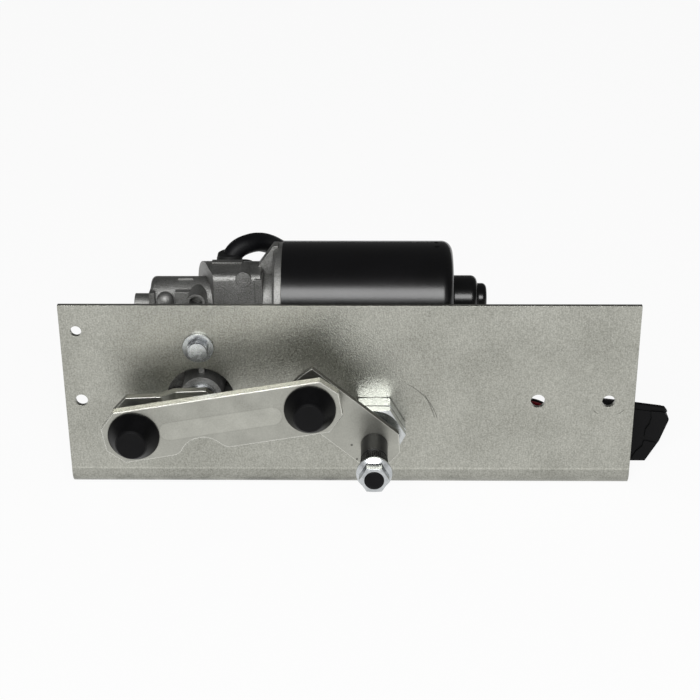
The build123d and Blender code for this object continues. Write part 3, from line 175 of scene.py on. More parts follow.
def squareness(tree):
    """How squarely a face looks forwards or back: 1 for front and back faces, 0 for edges."""
    shape = add_node(tree, "ShaderNodeNewGeometry")
    parts = add_node(tree, "ShaderNodeSeparateXYZ")
    tree.links.new(shape.outputs["Normal"], parts.inputs[0])
    return calc(tree, "ABSOLUTE", parts.outputs["Y"])


# A Mix node's colour sockets by number, because its sockets for other types share their names.
MIX_FACTOR, MIX_FIRST, MIX_SECOND, MIX_RESULT = 0, 6, 7, 2


def mixed_colour(tree, factor, first, second):
    """The colour that goes from first to second as factor goes from 0 to 1."""
    mix = tree.nodes.new("ShaderNodeMix")
    mix.data_type = "RGBA"
    for socket, value in ((mix.inputs[MIX_FIRST], first), (mix.inputs[MIX_SECOND], second)):
        if isinstance(value, bpy.types.NodeSocket):
            tree.links.new(value, socket)
        else:
            socket.default_value = (*value, 1.0)
    tree.links.new(factor, mix.inputs[MIX_FACTOR])
    return mix.outputs[MIX_RESULT]


def scaled_colour(tree, colour, factor):
    """The colour made lighter or darker by factor."""
    scale = add_node(tree, "ShaderNodeVectorMath", operation="SCALE")
    tree.links.new(colour, scale.inputs[0])
    tree.links.new(factor, scale.inputs["Scale"])
    return scale.outputs[0]


# Ramps are (start, end, value at start, value at end). This one paints shade into a metal's crevices.
CREVICE_SHADE = (0.35, 0.75, 0.25, 1.0)
LOOK_SAMPLES, GRAIN_DETAIL, BUMP_STRENGTH = 4, 4.0, 0.6


def finish(
    name, dark, light, metallic, roughness, grain, patch,
    bump=0.0, edge=0.3, specular=0.5, contrast=0.5, crevice=1.6, detail=None,
):
    """A material with fine grain and broad patches between two colours, and softened edges.

    roughness is its lowest and highest value, grain and patch are the sizes of both, bump is
    the grain's height, edge the radius of the edges and crevice how far from a corner painted shade
    darkens a metal. contrast is the grain's share of the colour. detail adds the part's own marks,
    and on some parts painted light and shade, to the colour."""
    material = bpy.data.materials.new(name)
    material.use_nodes = True
    tree = material.node_tree
    shader = tree.nodes["Principled BSDF"]
    shader.inputs["Metallic"].default_value = metallic
    shader.inputs["Specular IOR Level"].default_value = specular
    fine = noise_value(tree, grain, detail=GRAIN_DETAIL)
    broad = noise_value(tree, patch)
    share = calc(tree, "MULTIPLY", fine, contrast)
    blend = calc(tree, "MULTIPLY_ADD", broad, 1.0 - contrast, share)
    colour = mixed_colour(tree, blend, dark, light)
    rough = ramp(tree, blend, 0.0, 1.0, *roughness)
    bevel = add_node(tree, "ShaderNodeBevel", samples=LOOK_SAMPLES, Radius=edge * MM)
    normal = bevel.outputs["Normal"]
    if detail:
        colour = detail(tree, colour, normal)
    if metallic:
        # Painted shade in a metal's crevices, by ambient occlusion.
        painted_crevice_shade = add_node(
            tree, "ShaderNodeAmbientOcclusion", samples=LOOK_SAMPLES, Distance=crevice * MM
        )
        colour = scaled_colour(tree, colour, ramp(tree, painted_crevice_shade.outputs["AO"], *CREVICE_SHADE))
    tree.links.new(colour, shader.inputs["Base Color"])
    tree.links.new(rough, shader.inputs["Roughness"])
    if bump:
        relief = add_node(tree, "ShaderNodeBump", Strength=BUMP_STRENGTH, Distance=bump * MM)
        tree.links.new(fine, relief.inputs["Height"])
        tree.links.new(normal, relief.inputs["Normal"])
        normal = relief.outputs["Normal"]
    tree.links.new(normal, shader.inputs["Normal"])
    return material


# Arcs that the arm has scratched on the bracket: centre x and z, radius, lowest and highest z.
SCRATCHES = (
    (15.9, 33.4, 31.5, 41.0, 61.0),
    (-29.6, 18.7, 78.2, 42.0, 55.0),
    (136.5, 53.0, 10.3, 44.3, 46.4),
)
# How much light a scratch takes away by distance. It fades at both ends, and is cut off in x.
SCRATCH_LINE = (0.12, 0.4, 0.42, 0.0)
SCRATCH_FADE, SCRATCH_START_X = 0.8, 20.0
# The press brake's crease: its painted highlight line by distance, and painted shade under it.
CREASE_Z = 11.0
CREASE_HIGHLIGHT = (0.2, 0.7, 1.16, 1.0)
CREASE_SHADE = (CREASE_Z - 1.2, CREASE_Z - 0.4, 0.86, 1.0)
STREAKS = {"size": 0.45, "low": 0.93, "high": 1.07, "detail": 2.0, "stretch": (1.0, 1.0, 0.1)}
# Painted shade low on the bend, in noise, by height and by the place along the bracket.
BEND_SHADE_NOISE = {"size": 16.0, "low": 0.5, "high": 1.1, "detail": 4.0, "stretch": (1.0, 1.0, 2.5)}
BEND_SHADE_HEIGHT = (3.5, 8.0, 1.0, 0.0)
BEND_SHADE_LENGTH = (10.0, 60.0, 1.0, 0.45)


def scratch(tree, x, z, centre_x, centre_z, radius, lowest, highest):
    """The light left where an arc is scratched: 1 away from it, less on its line."""
    from_arc = calc(tree, "SUBTRACT", distance(tree, x, z, centre_x, centre_z), radius)
    line = product(
        tree,
        ramp(tree, calc(tree, "ABSOLUTE", from_arc), *SCRATCH_LINE, soft=True),
        ramp(tree, z, lowest - SCRATCH_FADE, lowest + SCRATCH_FADE, soft=True),
        ramp(tree, z, highest + SCRATCH_FADE, highest - SCRATCH_FADE, soft=True),
        calc(tree, "GREATER_THAN", x, SCRATCH_START_X),
    )
    return calc(tree, "SUBTRACT", 1.0, line)


def bracket_detail(tree, colour, soft_normal):
    """The crease's painted highlight, painted shade under it and on the bend, and the sheet's streaks and
    scratches.
    """
    x, z = places(tree)
    low, left = ramp(tree, z, *BEND_SHADE_HEIGHT, soft=True), ramp(tree, x, *BEND_SHADE_LENGTH, soft=True)
    bend_shade = calc(tree, "SUBTRACT", noise_value(tree, **BEND_SHADE_NOISE), 1.0)
    bend_shaded = product(tree, bend_shade, product(tree, low, left))
    # Here the painted highlight and painted shade of the crease and the bend join the streaks and scratches.
    light = product(
        tree,
        noise_value(tree, **STREAKS),
        ramp(tree, gap(tree, z, CREASE_Z), *CREASE_HIGHLIGHT, soft=True),
        ramp(tree, z, *CREASE_SHADE, soft=True),
        calc(tree, "ADD", bend_shaded, 1.0),
        *(scratch(tree, x, z, *arc) for arc in SCRATCHES),
    )
    return scaled_colour(tree, colour, light)


# A painted highlight on a strip's corners, by the cosine between the true and the softened normal.
CORNER_HIGHLIGHT, CORNER_HIGHLIGHT_COLOUR = (0.998, 0.95, 0.0, 1.0), (0.95, 0.95, 0.88)
# Its sheared edges are the faces that look least forwards, and their grain is torn.
SHEARED = (0.5, 0.3)
TORN_GRAIN = {"size": 0.45, "low": 0.15, "high": 0.85}


def strip_detail(tree, colour, soft_normal, painted_edge_dark, painted_edge_light):
    """Pressed strip: a painted highlight on its corners, and sheared edges with a torn grain in the caller's
    painted tone.
    """
    shape = add_node(tree, "ShaderNodeNewGeometry")
    turn = add_node(tree, "ShaderNodeVectorMath", operation="DOT_PRODUCT")
    tree.links.new(shape.outputs["Normal"], turn.inputs[0])
    tree.links.new(soft_normal, turn.inputs[1])
    # Painted highlight on the corners, where the softened normal leaves the true one.
    painted_corner_highlight = ramp(tree, turn.outputs["Value"], *CORNER_HIGHLIGHT, soft=True)
    sheared = ramp(tree, squareness(tree), *SHEARED)
    painted_edge_colour = mixed_colour(tree, noise_value(tree, **TORN_GRAIN), painted_edge_dark, painted_edge_light)
    colour = mixed_colour(tree, painted_corner_highlight, colour, CORNER_HIGHLIGHT_COLOUR)
    return mixed_colour(tree, sheared, colour, painted_edge_colour)


# The smooth coined field on the link: the middles of its round ends (x, z), their radius, how
# light it is inside and outside, and the dark line round it by distance.
FIELD_ENDS, FIELD_RADIUS = ((-90.5, 53.7), (-38.0, 62.6)), 5.0
FIELD_LIGHT = (FIELD_RADIUS - 0.2, FIELD_RADIUS + 0.2, 1.1, 0.97)
FIELD_RIM = (0.15, 0.5, 0.9, 1.0)
# The link's sheared edges in painted light, with a dark to light torn grain.
LINK_EDGE_PAINTED_LIGHT = ((0.12, 0.12, 0.10), (0.99, 0.98, 0.90))


def link_detail(tree, colour, soft_normal):
    """The link's edges, painted light with a torn grain, and the lighter coined field between its two caps."""
    x, z = places(tree)
    (start_x, start_z), (end_x, end_z) = FIELD_ENDS
    length = math.hypot(end_x - start_x, end_z - start_z)
    along_x, along_z = (end_x - start_x) / length, (end_z - start_z) / length
    from_x, from_z = calc(tree, "SUBTRACT", x, start_x), calc(tree, "SUBTRACT", z, start_z)
    along = calc(tree, "ADD", product(tree, from_x, along_x), product(tree, from_z, along_z))
    across = calc(tree, "SUBTRACT", product(tree, from_z, along_x), product(tree, from_x, along_z))
    nearest = calc(tree, "MINIMUM", calc(tree, "MAXIMUM", along, 0.0), length)
    away = hypotenuse(tree, calc(tree, "SUBTRACT", along, nearest), across)
    rim = ramp(tree, gap(tree, away, FIELD_RADIUS), *FIELD_RIM)
    field = ramp(tree, away, *FIELD_LIGHT)
    colour = scaled_colour(tree, colour, product(tree, field, rim))
    return strip_detail(tree, colour, soft_normal, *LINK_EDGE_PAINTED_LIGHT)


# Dark specks on the lever: x, z and radius.
SPECKS = ((1.5, 39.3, 0.45), (4.2, 31.0, 0.4), (6.3, 28.5, 0.25))
SPECK_FADE, SPECK_SHADE = 0.3, (0.3, 1.0)
# The arms' sheared edges in painted shade, with a dark torn grain.
ARM_EDGE_PAINTED_SHADE = ((0.03, 0.03, 0.025), (0.16, 0.16, 0.14))


def arm_detail(tree, colour, soft_normal):
    """The lever's and the crank arm's edges in painted shade, and the lever's specks."""
    x, z = places(tree)
    specks = [
        ramp(tree, distance(tree, x, z, *centre), radius, radius + SPECK_FADE, *SPECK_SHADE)
        for *centre, radius in SPECKS
    ]
    colour = scaled_colour(tree, colour, product(tree, *specks))
    return strip_detail(tree, colour, soft_normal, *ARM_EDGE_PAINTED_SHADE)


# Painted shade on a bolt's faces, by how squarely they look forwards or back.
BOLT_FLATS_SHADE = (0.9, 0.99, 0.3, 1.0)


def bolt_detail(tree, colour, soft_normal):
    """A bolt's head, its face lighter than its flats and its flange: painted shade on faces that look away from
    forwards and back.
    """
    return scaled_colour(tree, colour, ramp(tree, squareness(tree), *BOLT_FLATS_SHADE))


NUT_JOINT_SHADE = (0.3, 0.7, 0.04, 1.0)


def nut_detail(tree, colour, soft_normal):
    """The dark joint between the pivot's two nuts."""
    (depth,) = places(tree, "Y")
    return scaled_colour(tree, colour, ramp(tree, gap(tree, depth, NUT_JOINT), *NUT_JOINT_SHADE))


PLATE_DARK, PLATE_LIGHT = (0.28, 0.28, 0.245), (0.50, 0.50, 0.45)
STRIP_DARK, STRIP_LIGHT = (0.33, 0.33, 0.295), (0.45, 0.45, 0.405)
BRIGHT_DARK, BRIGHT_LIGHT = (0.42, 0.44, 0.45), (0.62, 0.64, 0.65)
DETAILS = {
    "zinc_plate": bracket_detail,
    "link_zinc": link_detail,
    "arm_zinc": arm_detail,
    "bolt_zinc": bolt_detail,
    "nut_zinc": nut_detail,
}
# Name, dark and light colour, metallic, lowest and highest roughness, grain, patch, the rest.
FINISH_TABLE = (
    (
        "zinc_plate", PLATE_DARK, PLATE_LIGHT, 1.0, (0.27, 0.39), 0.8, 30,
        {"bump": 0.11, "contrast": 0.72},
    ),
    ("link_zinc", STRIP_DARK, STRIP_LIGHT, 1.0, (0.3, 0.4), 0.6, 12, {"bump": 0.03, "edge": 1.0}),
    ("arm_zinc", STRIP_DARK, STRIP_LIGHT, 1.0, (0.3, 0.4), 0.6, 12, {"bump": 0.03, "edge": 0.7}),
    ("nut_zinc", (0.46, 0.48, 0.48), (0.66, 0.68, 0.68), 1.0, (0.2, 0.26), 1.5, 8, {"edge": 0.12}),
    ("bolt_zinc", BRIGHT_DARK, BRIGHT_LIGHT, 1.0, (0.22, 0.3), 1.5, 8, {"edge": 0.12}),
    ("bright_zinc", BRIGHT_DARK, BRIGHT_LIGHT, 1.0, (0.22, 0.3), 1.5, 8, {"edge": 0.12}),
    (
        "cast_alloy", (0.16, 0.16, 0.15), (0.40, 0.40, 0.39), 1.0, (0.46, 0.58), 0.6, 14,
        {"bump": 0.16, "edge": 0.45, "contrast": 0.6, "crevice": 4.0},
    ),
    (
        "can_black", (0.0012, 0.0012, 0.0014), (0.003, 0.003, 0.0035), 0.0, (0.2, 0.25), 0.8, 20,
        {"bump": 0.003, "edge": 0.2, "specular": 0.4},
    ),
    (
        "spindle_black", (0.0015, 0.0015, 0.002), (0.004, 0.004, 0.0045), 0.0, (0.3, 0.38), 0.5, 5,
        {"bump": 0.005, "edge": 0.15, "specular": 0.12},
    ),
    (
        "matt_black", (0.0012, 0.0012, 0.0014), (0.0035, 0.0035, 0.004), 0.0, (0.4, 0.5), 0.4, 8,
        {"bump": 0.01, "edge": 0.5, "specular": 0.12},
    ),
    (
        "rubber_black", (0.003, 0.003, 0.003), (0.008, 0.008, 0.008), 0.0, (0.55, 0.7), 0.5, 6,
        {"bump": 0.02, "specular": 0.3},
    ),
    (
        "loom_black", (0.002, 0.002, 0.0025), (0.006, 0.006, 0.007), 0.0, (0.4, 0.55), 0.5, 8,
        {"bump": 0.03, "specular": 0.15},
    ),
    (
        "red_insulation", (0.38, 0.01, 0.025), (0.55, 0.02, 0.04), 0.0, (0.3, 0.4), 0.6, 6,
        {"bump": 0.01},
    ),
    ("black_insulation", (0.006,) * 3, (0.015,) * 3, 0.0, (0.3, 0.4), 0.6, 6, {"bump": 0.01}),
    ("steel", (0.35,) * 3, (0.52,) * 3, 1.0, (0.25, 0.4), 0.4, 8, {"bump": 0.01}),
    ("bronze", (0.38, 0.24, 0.11), (0.58, 0.40, 0.20), 1.0, (0.35, 0.5), 0.4, 6, {"bump": 0.01}),
    (
        "wheel_plastic", (0.62, 0.58, 0.47), (0.75, 0.72, 0.62), 0.0, (0.4, 0.5), 0.6, 10,
        {"bump": 0.01},
    ),
    ("copper", (0.50, 0.18, 0.07), (0.75, 0.32, 0.14), 0.9, (0.25, 0.4), 0.5, 5, {"bump": 0.02}),
    ("ferrite", (0.04, 0.04, 0.045), (0.08, 0.08, 0.085), 0.2, (0.6, 0.75), 0.4, 6, {"bump": 0.03}),
    (
        "contact_brass", (0.60, 0.42, 0.15), (0.78, 0.60, 0.28), 1.0, (0.22, 0.35), 0.4, 5,
        {"bump": 0.01},
    ),
    ("board", (0.18, 0.11, 0.05), (0.30, 0.20, 0.11), 0.0, (0.5, 0.65), 0.5, 8, {"bump": 0.02}),
    ("carbon", (0.03,) * 3, (0.06,) * 3, 0.2, (0.5, 0.6), 0.3, 4, {"bump": 0.02}),
)
FINISHES = {
    name: finish(name, *values, **rest, detail=DETAILS.get(name))
    for name, *values, rest in FINISH_TABLE
}
# CAD nodes with a finish of their own, in place of their slot's.
OWN_FINISH = {
    "link": "link_zinc",
    "lever": "arm_zinc",
    "crank_arm": "arm_zinc",
    "motor_bolts": "bolt_zinc",
    "pivot_nut": "nut_zinc",
    "pivot_locknut": "nut_zinc",
}


def dress_nodes():
    """Every CAD node gets its own finish, or that of its slot."""
    for part in frame["record"]["subparts"]:
        node = nodes[part["node"]]
        if not node.material_slots:
            node.data.materials.append(None)
        slot = OWN_FINISH.get(part["node"], part["material_slot"])
        for material_slot in node.material_slots:
            material_slot.link = "OBJECT"
            material_slot.material = FINISHES[slot]


# ---- Cable loom ---------------------------------------------------------------------------

# Routes are points (x, behind the bracket's face, z).
LOOM_X, LOOM_BEHIND, SLEEVE_START = -65.5, 52.0, 103.5
SLEEVE_ROUTE = (
    (LOOM_X, LOOM_BEHIND, SLEEVE_START),
    (LOOM_X, LOOM_BEHIND, SLEEVE_START + 5.6),
    (-63.9, 52.8, 113.4),
    (-60.8, 54.3, 116.6),
    (-56.2, 56.4, 118.2),
    (-50.4, 60.6, 118.1),
    (-44.7, 67.5, 114.2),
    (-39.0, 75.0, 107.9),
    (-27.0, 80.0, 94.0),
    (-13.0, 81.0, 76.0),
    (0.0, 77.0, 54.0),
    (8.0, 68.0, 32.0),
    (20.0, 60.0, 12.5),
    (38.0, 56.0, 8.3),
    (62.0, 57.0, 8.3),
    (78.0, 58.0, 11.0),
    (88.0, 58.0, 17.0),
)
WIRE_ROUTE = (
    (88.0, 58.0, 17.0),
    (96.0, 57.0, 20.8),
    (104.0, 52.5, 22.9),
    (112.0, 44.5, 21.6),
    (119.5, 39.0, 20.5),
    (128.5, 39.0, 20.5),
)
WIRE_SPREAD, WIRE_RISE = 1.8, 2.0
# The first points of a wire's route, which are set out square to the sleeve's end.
LEAVING_POINTS = 2
SLEEVE_RADIUS, WIRE_RADIUS = 5.25, 1.2
SPLINE_ORDER, SPLINE_STEPS, ROUND_STEPS = 3, 8, 6
CORD_SMOOTH, PIECE_SMOOTH, KNURL_SMOOTH, MOULDED_SMOOTH = 60, 35, 20, 25


def placed(name, data, body, slot, smooth_angle):
    """A piece of data that rides on body; its edges stay sharp beyond smooth_angle degrees."""
    data.shade_smooth()
    data.set_sharp_from_angle(angle=math.radians(smooth_angle))
    data.materials.clear()
    data.materials.append(FINISHES[slot])
    piece = bpy.data.objects.new(name, data)
    bpy.context.scene.collection.objects.link(piece)
    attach(piece, body)
    return piece


def cord_piece(name, route, radius, slot):
    """A round cord on one smooth spline, with the route as its control points, and its line."""
    data = bpy.data.curves.new(name, "CURVE")
    data.dimensions = "3D"
    data.bevel_resolution = ROUND_STEPS
    data.use_fill_caps = True
    data.resolution_u = SPLINE_STEPS
    spline = data.splines.new("NURBS")
    spline.points.add(len(route) - 1)
    for point, (x, behind, z) in zip(spline.points, route):
        point.co = (*ahead(x, -behind, z), 1.0)
    spline.order_u = SPLINE_ORDER
    spline.use_endpoint_u = True
    carrier = bpy.data.objects.new(name, data)
    line = bpy.data.meshes.new_from_object(carrier)
    path = [vertex.co.copy() for vertex in line.vertices]
    data.bevel_depth = radius * MM
    tube = bpy.data.meshes.new_from_object(carrier)
    tube.name = name
    bpy.data.objects.remove(carrier)
    bpy.data.curves.remove(data)
    bpy.data.meshes.remove(line)
    return placed(name, tube, "frame", slot, CORD_SMOOTH), path


def wire_route(spread, rise):
    """A wire's route beside and above the middle one."""
    leaving = (Vector(SLEEVE_ROUTE[-1]) - Vector(SLEEVE_ROUTE[-2])).normalized()
    route = [
        (x - rise * leaving.z, y + spread, z + rise * leaving.x)
        for x, y, z in WIRE_ROUTE[:LEAVING_POINTS]
    ]
    route += [(x, y + spread, z + rise) for x, y, z in WIRE_ROUTE[LEAVING_POINTS:]]
    return route


def add_loom(connector):
    """The sleeve and its four wires, which go into the connector. connector, a list of its pieces, body first, is
    not used.
    """
    sleeve, sleeve_path = cord_piece("sleeve", SLEEVE_ROUTE, SLEEVE_RADIUS, "loom_black")
    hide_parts("loom_sleeve")
    wires = []
    for name, spread, rise in (
        ("wire_red", -WIRE_SPREAD, WIRE_RISE),
        ("wire_lower_front", -WIRE_SPREAD, -WIRE_RISE),
        ("wire_lower_back", WIRE_SPREAD, -WIRE_RISE),
        ("wire_upper_back", WIRE_SPREAD, WIRE_RISE),
    ):
        slot = "red_insulation" if name == "wire_red" else "black_insulation"
        wire, path = cord_piece(name, wire_route(spread, rise), WIRE_RADIUS, slot)
        wires.append(wire)
    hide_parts("red_wire")
    for wire in wires[1:]:
        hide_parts("dark_wires")


# ---- Turned and moulded details -----------------------------------------------------------

def mesh_piece(name, vertices, faces, body, slot, smooth_angle=PIECE_SMOOTH):
    """A piece from its vertices and faces, with its normals turned outwards."""
    data = bpy.data.meshes.new(name)
    data.from_pydata(vertices, [], faces)
    mesh = bmesh.new()
    mesh.from_mesh(data)
    bmesh.ops.recalc_face_normals(mesh, faces=mesh.faces)
    mesh.to_mesh(data)
    mesh.free()
    return placed(name, data, body, slot, smooth_angle)


def turned(name, origin, direction, profile, body, slot, segments=64):
    """A closed turned piece. profile is (along direction, radius) pairs, from axis to axis."""
    turn = direction.to_track_quat("Z", "Y").to_matrix()
    vertices, rings = [], []
    for along, radius in profile:
        if radius:
            ring = range(len(vertices), len(vertices) + segments)
            for step in range(segments):
                angle = 2 * math.pi * step / segments
                place = Vector((radius * math.cos(angle), radius * math.sin(angle), along)) * MM
                vertices.append(origin + turn @ place)
        else:
            ring = range(len(vertices), len(vertices) + 1)
            vertices.append(origin + turn @ Vector((0, 0, along * MM)))
        rings.append(ring)
    faces = []
    for first, second in zip(rings, rings[1:]):
        for step in range(segments):
            after = (step + 1) % segments
            corners = [first[step % len(first)], first[after % len(first)]]
            corners += [second[after % len(second)], second[step % len(second)]]
            faces.append(tuple(dict.fromkeys(corners)))
    return mesh_piece(name, vertices, faces, body, slot)


TO_FRONT, UP = Vector((0, -1, 0)), Vector((0, 0, 1))
TIP_PROFILE = (
    (61.8, 0), (61.8, 4.95), (62.55, 4.95), (62.8, 4.6), (62.93, 3.6), (62.98, 1.8), (63.0, 0),
)
# The spindle's cone, from the bracket's face, with its radius at both ends.
CONE_ENDS, CONE_RADII = (43.9, 54.3), (6.82, 6.02)
# A ridge of the knurl: its three corners as (share of its pitch, height over the cone).
KNURL_COUNT, KNURL_RIDGE = 44, ((-0.32, -0.1), (0.0, 0.28), (0.32, -0.1))
BOOT_Z = 107.9
BOOT_PROFILE = (
    (-2.5, 0), (-2.5, 8.3), (0.4, 8.3), (1.4, 7.8), (2.0, 7.1),
    (4.4, 6.8), (5.2, 6.5), (6.6, 6.2), (7.1, 5.4), (7.1, 0),
)
# The low hump beside the boot: x, behind the bracket's face, and z.
HUMP_PLACE = (-58.0, 50.0, 107.4)
HUMP_PROFILE = (
    (-4.0, 0), (-4.0, 7.4), (-0.4, 7.4), (1.2, 6.9), (2.2, 5.8), (2.9, 3.6), (3.1, 0),
)


def add_turned_details():
    """The spindle's rounded end, the knurl on its cone, and the loom's boot with its foot."""
    face = Vector((SPINDLE.x, FACE_Y, SPINDLE.z))
    turned("spindle_tip", face, TO_FRONT, TIP_PROFILE, "lever_arm", "spindle_black")
    vertices, faces = [], []
    for ridge in range(KNURL_COUNT):
        for depth, radius in zip(CONE_ENDS, CONE_RADII):
            for step, height in KNURL_RIDGE:
                angle = 2 * math.pi * (ridge + step) / KNURL_COUNT
                reach = radius + height
                spot = Vector((reach * math.cos(angle), -depth, reach * math.sin(angle))) * MM
                vertices.append(face + spot)
        low = 2 * len(KNURL_RIDGE) * ridge
        faces += [(low, low + 1, low + 4, low + 3), (low + 1, low + 2, low + 5, low + 4)]
        faces += [(low + 2, low, low + 3, low + 5)]
        faces += [(low, low + 2, low + 1), (low + 3, low + 4, low + 5)]
    mesh_piece("knurl", vertices, faces, "lever_arm", "spindle_black", KNURL_SMOOTH)
    boot_place = ahead(LOOM_X, -LOOM_BEHIND, BOOT_Z)
    boot = turned("loom_boot", boot_place, UP, BOOT_PROFILE, "frame", "rubber_black")
    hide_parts("cable_grommet")
    hump_x, hump_behind, hump_z = HUMP_PLACE
    hump_place = ahead(hump_x, -hump_behind, hump_z)
    hump = turned("loom_foot", hump_place, UP, HUMP_PROFILE, "frame", "rubber_black")
    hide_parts("cable_grommet")


# ---- Connector ----------------------------------------------------------------------------

# The connector's front face, behind the bracket's, its depth, and the strips it is cut into.
CONNECTOR_FRONT, CONNECTOR_DEPTH, CONNECTOR_CUTS = 28.0, 22.0, 12
# Its back is flat at CROWN_TOP for CROWN_FLAT, then falls with CROWN_RADIUS. Nothing moves
# below CROWN_LOW.
CROWN_TOP, CROWN_LOW, CROWN_FLAT, CROWN_RADIUS = 31.0, 12.0, 6.0, 16.0
# The latch's depth from LATCH_INSET on shrinks to LATCH_SHARE of it and starts at LATCH_FRONT.
LATCH_FRONT, LATCH_INSET, LATCH_SHARE = 28.3, 30.0, 0.16
MERGE_DISTANCE, CUT_DISTANCE = 1e-6, 1e-7  # metres
# The two panels on the front: how far they sink in and stand out, and their outlines (x, z).
PANEL_LIFTS = (-0.3, 0.6)
UPPER_PANEL = (
    (164.5, 31.5), (171.7, 30.9), (174.1, 28.2), (173.9, 25.7), (169.2, 14.3),
    (162.0, 16.1), (162.4, 20.7), (164.3, 23.8), (165.1, 27.5),
)
LOWER_PANEL = (
    (162.0, 13.5), (168.6, 12.1), (162.9, 1.5), (155.8, 2.3), (158.2, 6.9), (161.3, 10.0),
)


def crown_height(depth):
    """How high the connector's back reaches, depth behind its front face."""
    fall = max(depth - CROWN_FLAT, 0.0)
    return CROWN_TOP - CROWN_RADIUS + math.sqrt(max(CROWN_RADIUS**2 - fall**2, 0.0))


def reshaped(name, node, move, cuts=()):
    """A moulded piece in place of a CAD node: a copy of its mesh, cut at each Y in cuts, moved."""
    mesh = bmesh.new()
    mesh.from_mesh(nodes[node].data)
    bmesh.ops.remove_doubles(mesh, verts=mesh.verts, dist=MERGE_DISTANCE)
    for cut in cuts:
        bmesh.ops.bisect_plane(
            mesh,
            geom=[*mesh.verts, *mesh.edges, *mesh.faces],
            dist=CUT_DISTANCE,
            plane_co=(0, cut, 0),
            plane_no=(0, 1, 0),
        )
    for vertex in mesh.verts:
        vertex.co = move(vertex.co)
    data = bpy.data.meshes.new(name)
    bmesh.ops.recalc_face_normals(mesh, faces=mesh.faces)
    mesh.to_mesh(data)
    mesh.free()
    piece = placed(name, data, "frame", "matt_black", MOULDED_SMOOTH)
    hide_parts(node)
    return piece


def crowned(place):
    """A point of the connector's body, lowered under its rounded back."""
    depth = (place.y - FACE_Y) / MM - CONNECTOR_FRONT
    height = place.z / MM
    if height > CROWN_LOW:
        share = (crown_height(depth) - CROWN_LOW) / (CROWN_TOP - CROWN_LOW)
        height = CROWN_LOW + (height - CROWN_LOW) * share
    return Vector((place.x, place.y, height * MM))


def thinned(place):
    """A point of the latch, drawn together to a thin rib at the connector's front."""
    depth = (place.y - FACE_Y) / MM - LATCH_INSET
    return Vector((place.x, FACE_Y + (LATCH_FRONT + depth * LATCH_SHARE) * MM, place.z))


def panel(name, outline):
    """A thin raised panel on the connector's front face, its outline given as x and z."""
    count = len(outline)
    vertices = [ahead(x, -CONNECTOR_FRONT + lift, z) for lift in PANEL_LIFTS for x, z in outline]
    faces = [tuple(range(count)), tuple(range(count, 2 * count))]
    for step in range(count):
        after = (step + 1) % count
        faces.append((step, after, after + count, step + count))
    return mesh_piece(name, vertices, faces, "frame", "matt_black")


def add_connector():
    """The connector's pieces: its crowned body, its latch rib and the two panels on its front."""
    cuts = [
        FACE_Y + (CONNECTOR_FRONT + CONNECTOR_DEPTH * step / CONNECTOR_CUTS) * MM
        for step in range(1, CONNECTOR_CUTS)
    ]
    return [
        reshaped("connector_shell", "connector_body", crowned, cuts),
        reshaped("connector_rib", "connector_latch", thinned),
        panel("connector_upper", UPPER_PANEL),
        panel("connector_lower", LOWER_PANEL),
    ]


# ---- Floor and light ----------------------------------------------------------------------

# Half the floor's side, in metres, and its colour in the light.
FLOOR_REACH, FLOOR_COLOUR = 4, (0.9, 0.9, 0.9, 1)
# How white the floor and the room look.
FLOOR_WHITE, BACKDROP_WHITE = 0.93, 0.97
# The room's light by the direction's Y, from the dim room to the heart of its bright front wall.
FRONT_EDGE, FRONT_HEART = -0.35, -0.95
ROOM_LIGHT, FRONT_LIGHT = 0.12, 0.7
WHITE = (1, 1, 1, 1)
# The key lamp: where it stands and aims, its width and height in metres, and its watts.
KEY_PLACE, KEY_AIM = Vector((-0.12, -1.45, 1.02)), Vector((0, 0, 0.06))
KEY_WIDTH, KEY_HEIGHT, KEY_POWER = 1.4, 0.62, 27.0


def seen_share(tree, share):
    """share for what is seen directly, in a mirror or through glass, and 0 for other light."""
    path = add_node(tree, "ShaderNodeLightPath").outputs
    seen = calc(tree, "MAXIMUM", path["Is Camera Ray"], path["Is Glossy Ray"])
    return product(tree, calc(tree, "MAXIMUM", seen, path["Is Transmission Ray"]), share)


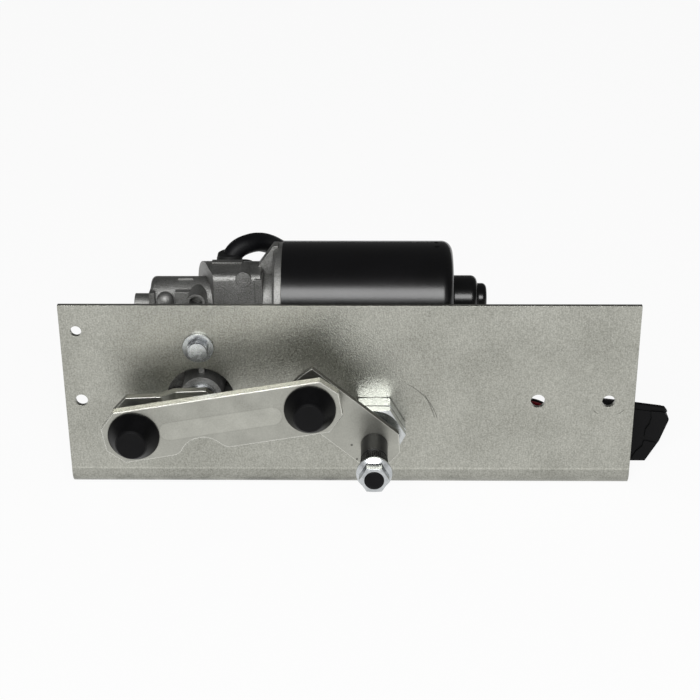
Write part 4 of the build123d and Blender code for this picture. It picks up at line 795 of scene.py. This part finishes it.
def add_floor():
    """A white floor that keeps the object's shadow."""
    data = bpy.data.meshes.new("floor")
    corners = [(-1, -1), (1, -1), (1, 1), (-1, 1)]
    vertices = [(x * FLOOR_REACH, y * FLOOR_REACH, 0) for x, y in corners]
    data.from_pydata(vertices, [], [(0, 1, 2, 3)])
    floor = bpy.data.objects.new("floor", data)
    bpy.context.scene.collection.objects.link(floor)
    material = bpy.data.materials.new("floor")
    material.use_nodes = True
    tree = material.node_tree
    tree.nodes.clear()
    output = add_node(tree, "ShaderNodeOutputMaterial")
    lit = add_node(tree, "ShaderNodeBsdfDiffuse", Color=FLOOR_COLOUR)
    white = add_node(tree, "ShaderNodeEmission", Color=WHITE, Strength=1.0)
    mix = add_node(tree, "ShaderNodeMixShader")
    tree.links.new(seen_share(tree, FLOOR_WHITE), mix.inputs[0])
    tree.links.new(lit.outputs[0], mix.inputs[1])
    tree.links.new(white.outputs[0], mix.inputs[2])
    tree.links.new(mix.outputs[0], output.inputs["Surface"])
    data.materials.append(material)


def add_panel(name, place, aim, width, height, power):
    """A soft rectangular lamp at place, turned to aim."""
    data = bpy.data.lights.new(name, "AREA")
    data.shape = "RECTANGLE"
    data.size, data.size_y = width, height
    data.energy = power
    lamp = bpy.data.objects.new(name, data)
    bpy.context.scene.collection.objects.link(lamp)
    turn = (aim - place).to_track_quat("-Z", "Y").to_matrix().to_4x4()
    lamp.matrix_world = Matrix.Translation(place) @ turn


def add_world():
    """A dim room whose front wall is bright. Where the camera looks straight at it, it is white."""
    world = bpy.data.worlds.new("studio")
    bpy.context.scene.world = world
    world.use_nodes = True
    tree = world.node_tree
    place = add_node(tree, "ShaderNodeTexCoord")
    parts = add_node(tree, "ShaderNodeSeparateXYZ")
    tree.links.new(place.outputs["Generated"], parts.inputs[0])
    wall_range = (FRONT_EDGE, FRONT_HEART, ROOM_LIGHT, FRONT_LIGHT)
    wall = ramp(tree, parts.outputs["Y"], *wall_range, soft=True)
    path = add_node(tree, "ShaderNodeLightPath").outputs
    seen = product(tree, path["Is Camera Ray"], BACKDROP_WHITE)
    background = tree.nodes["Background"]
    background.inputs["Color"].default_value = WHITE
    tree.links.new(calc(tree, "MAXIMUM", wall, seen), background.inputs["Strength"])


bpy.context.scene.view_settings.view_transform = "Standard"
add_camera()
add_loom(add_connector())
add_turned_details()
dress_nodes()
add_floor()
add_world()
add_panel("key", KEY_PLACE, KEY_AIM, KEY_WIDTH, KEY_HEIGHT, KEY_POWER)

bpy.context.view_layer.update()
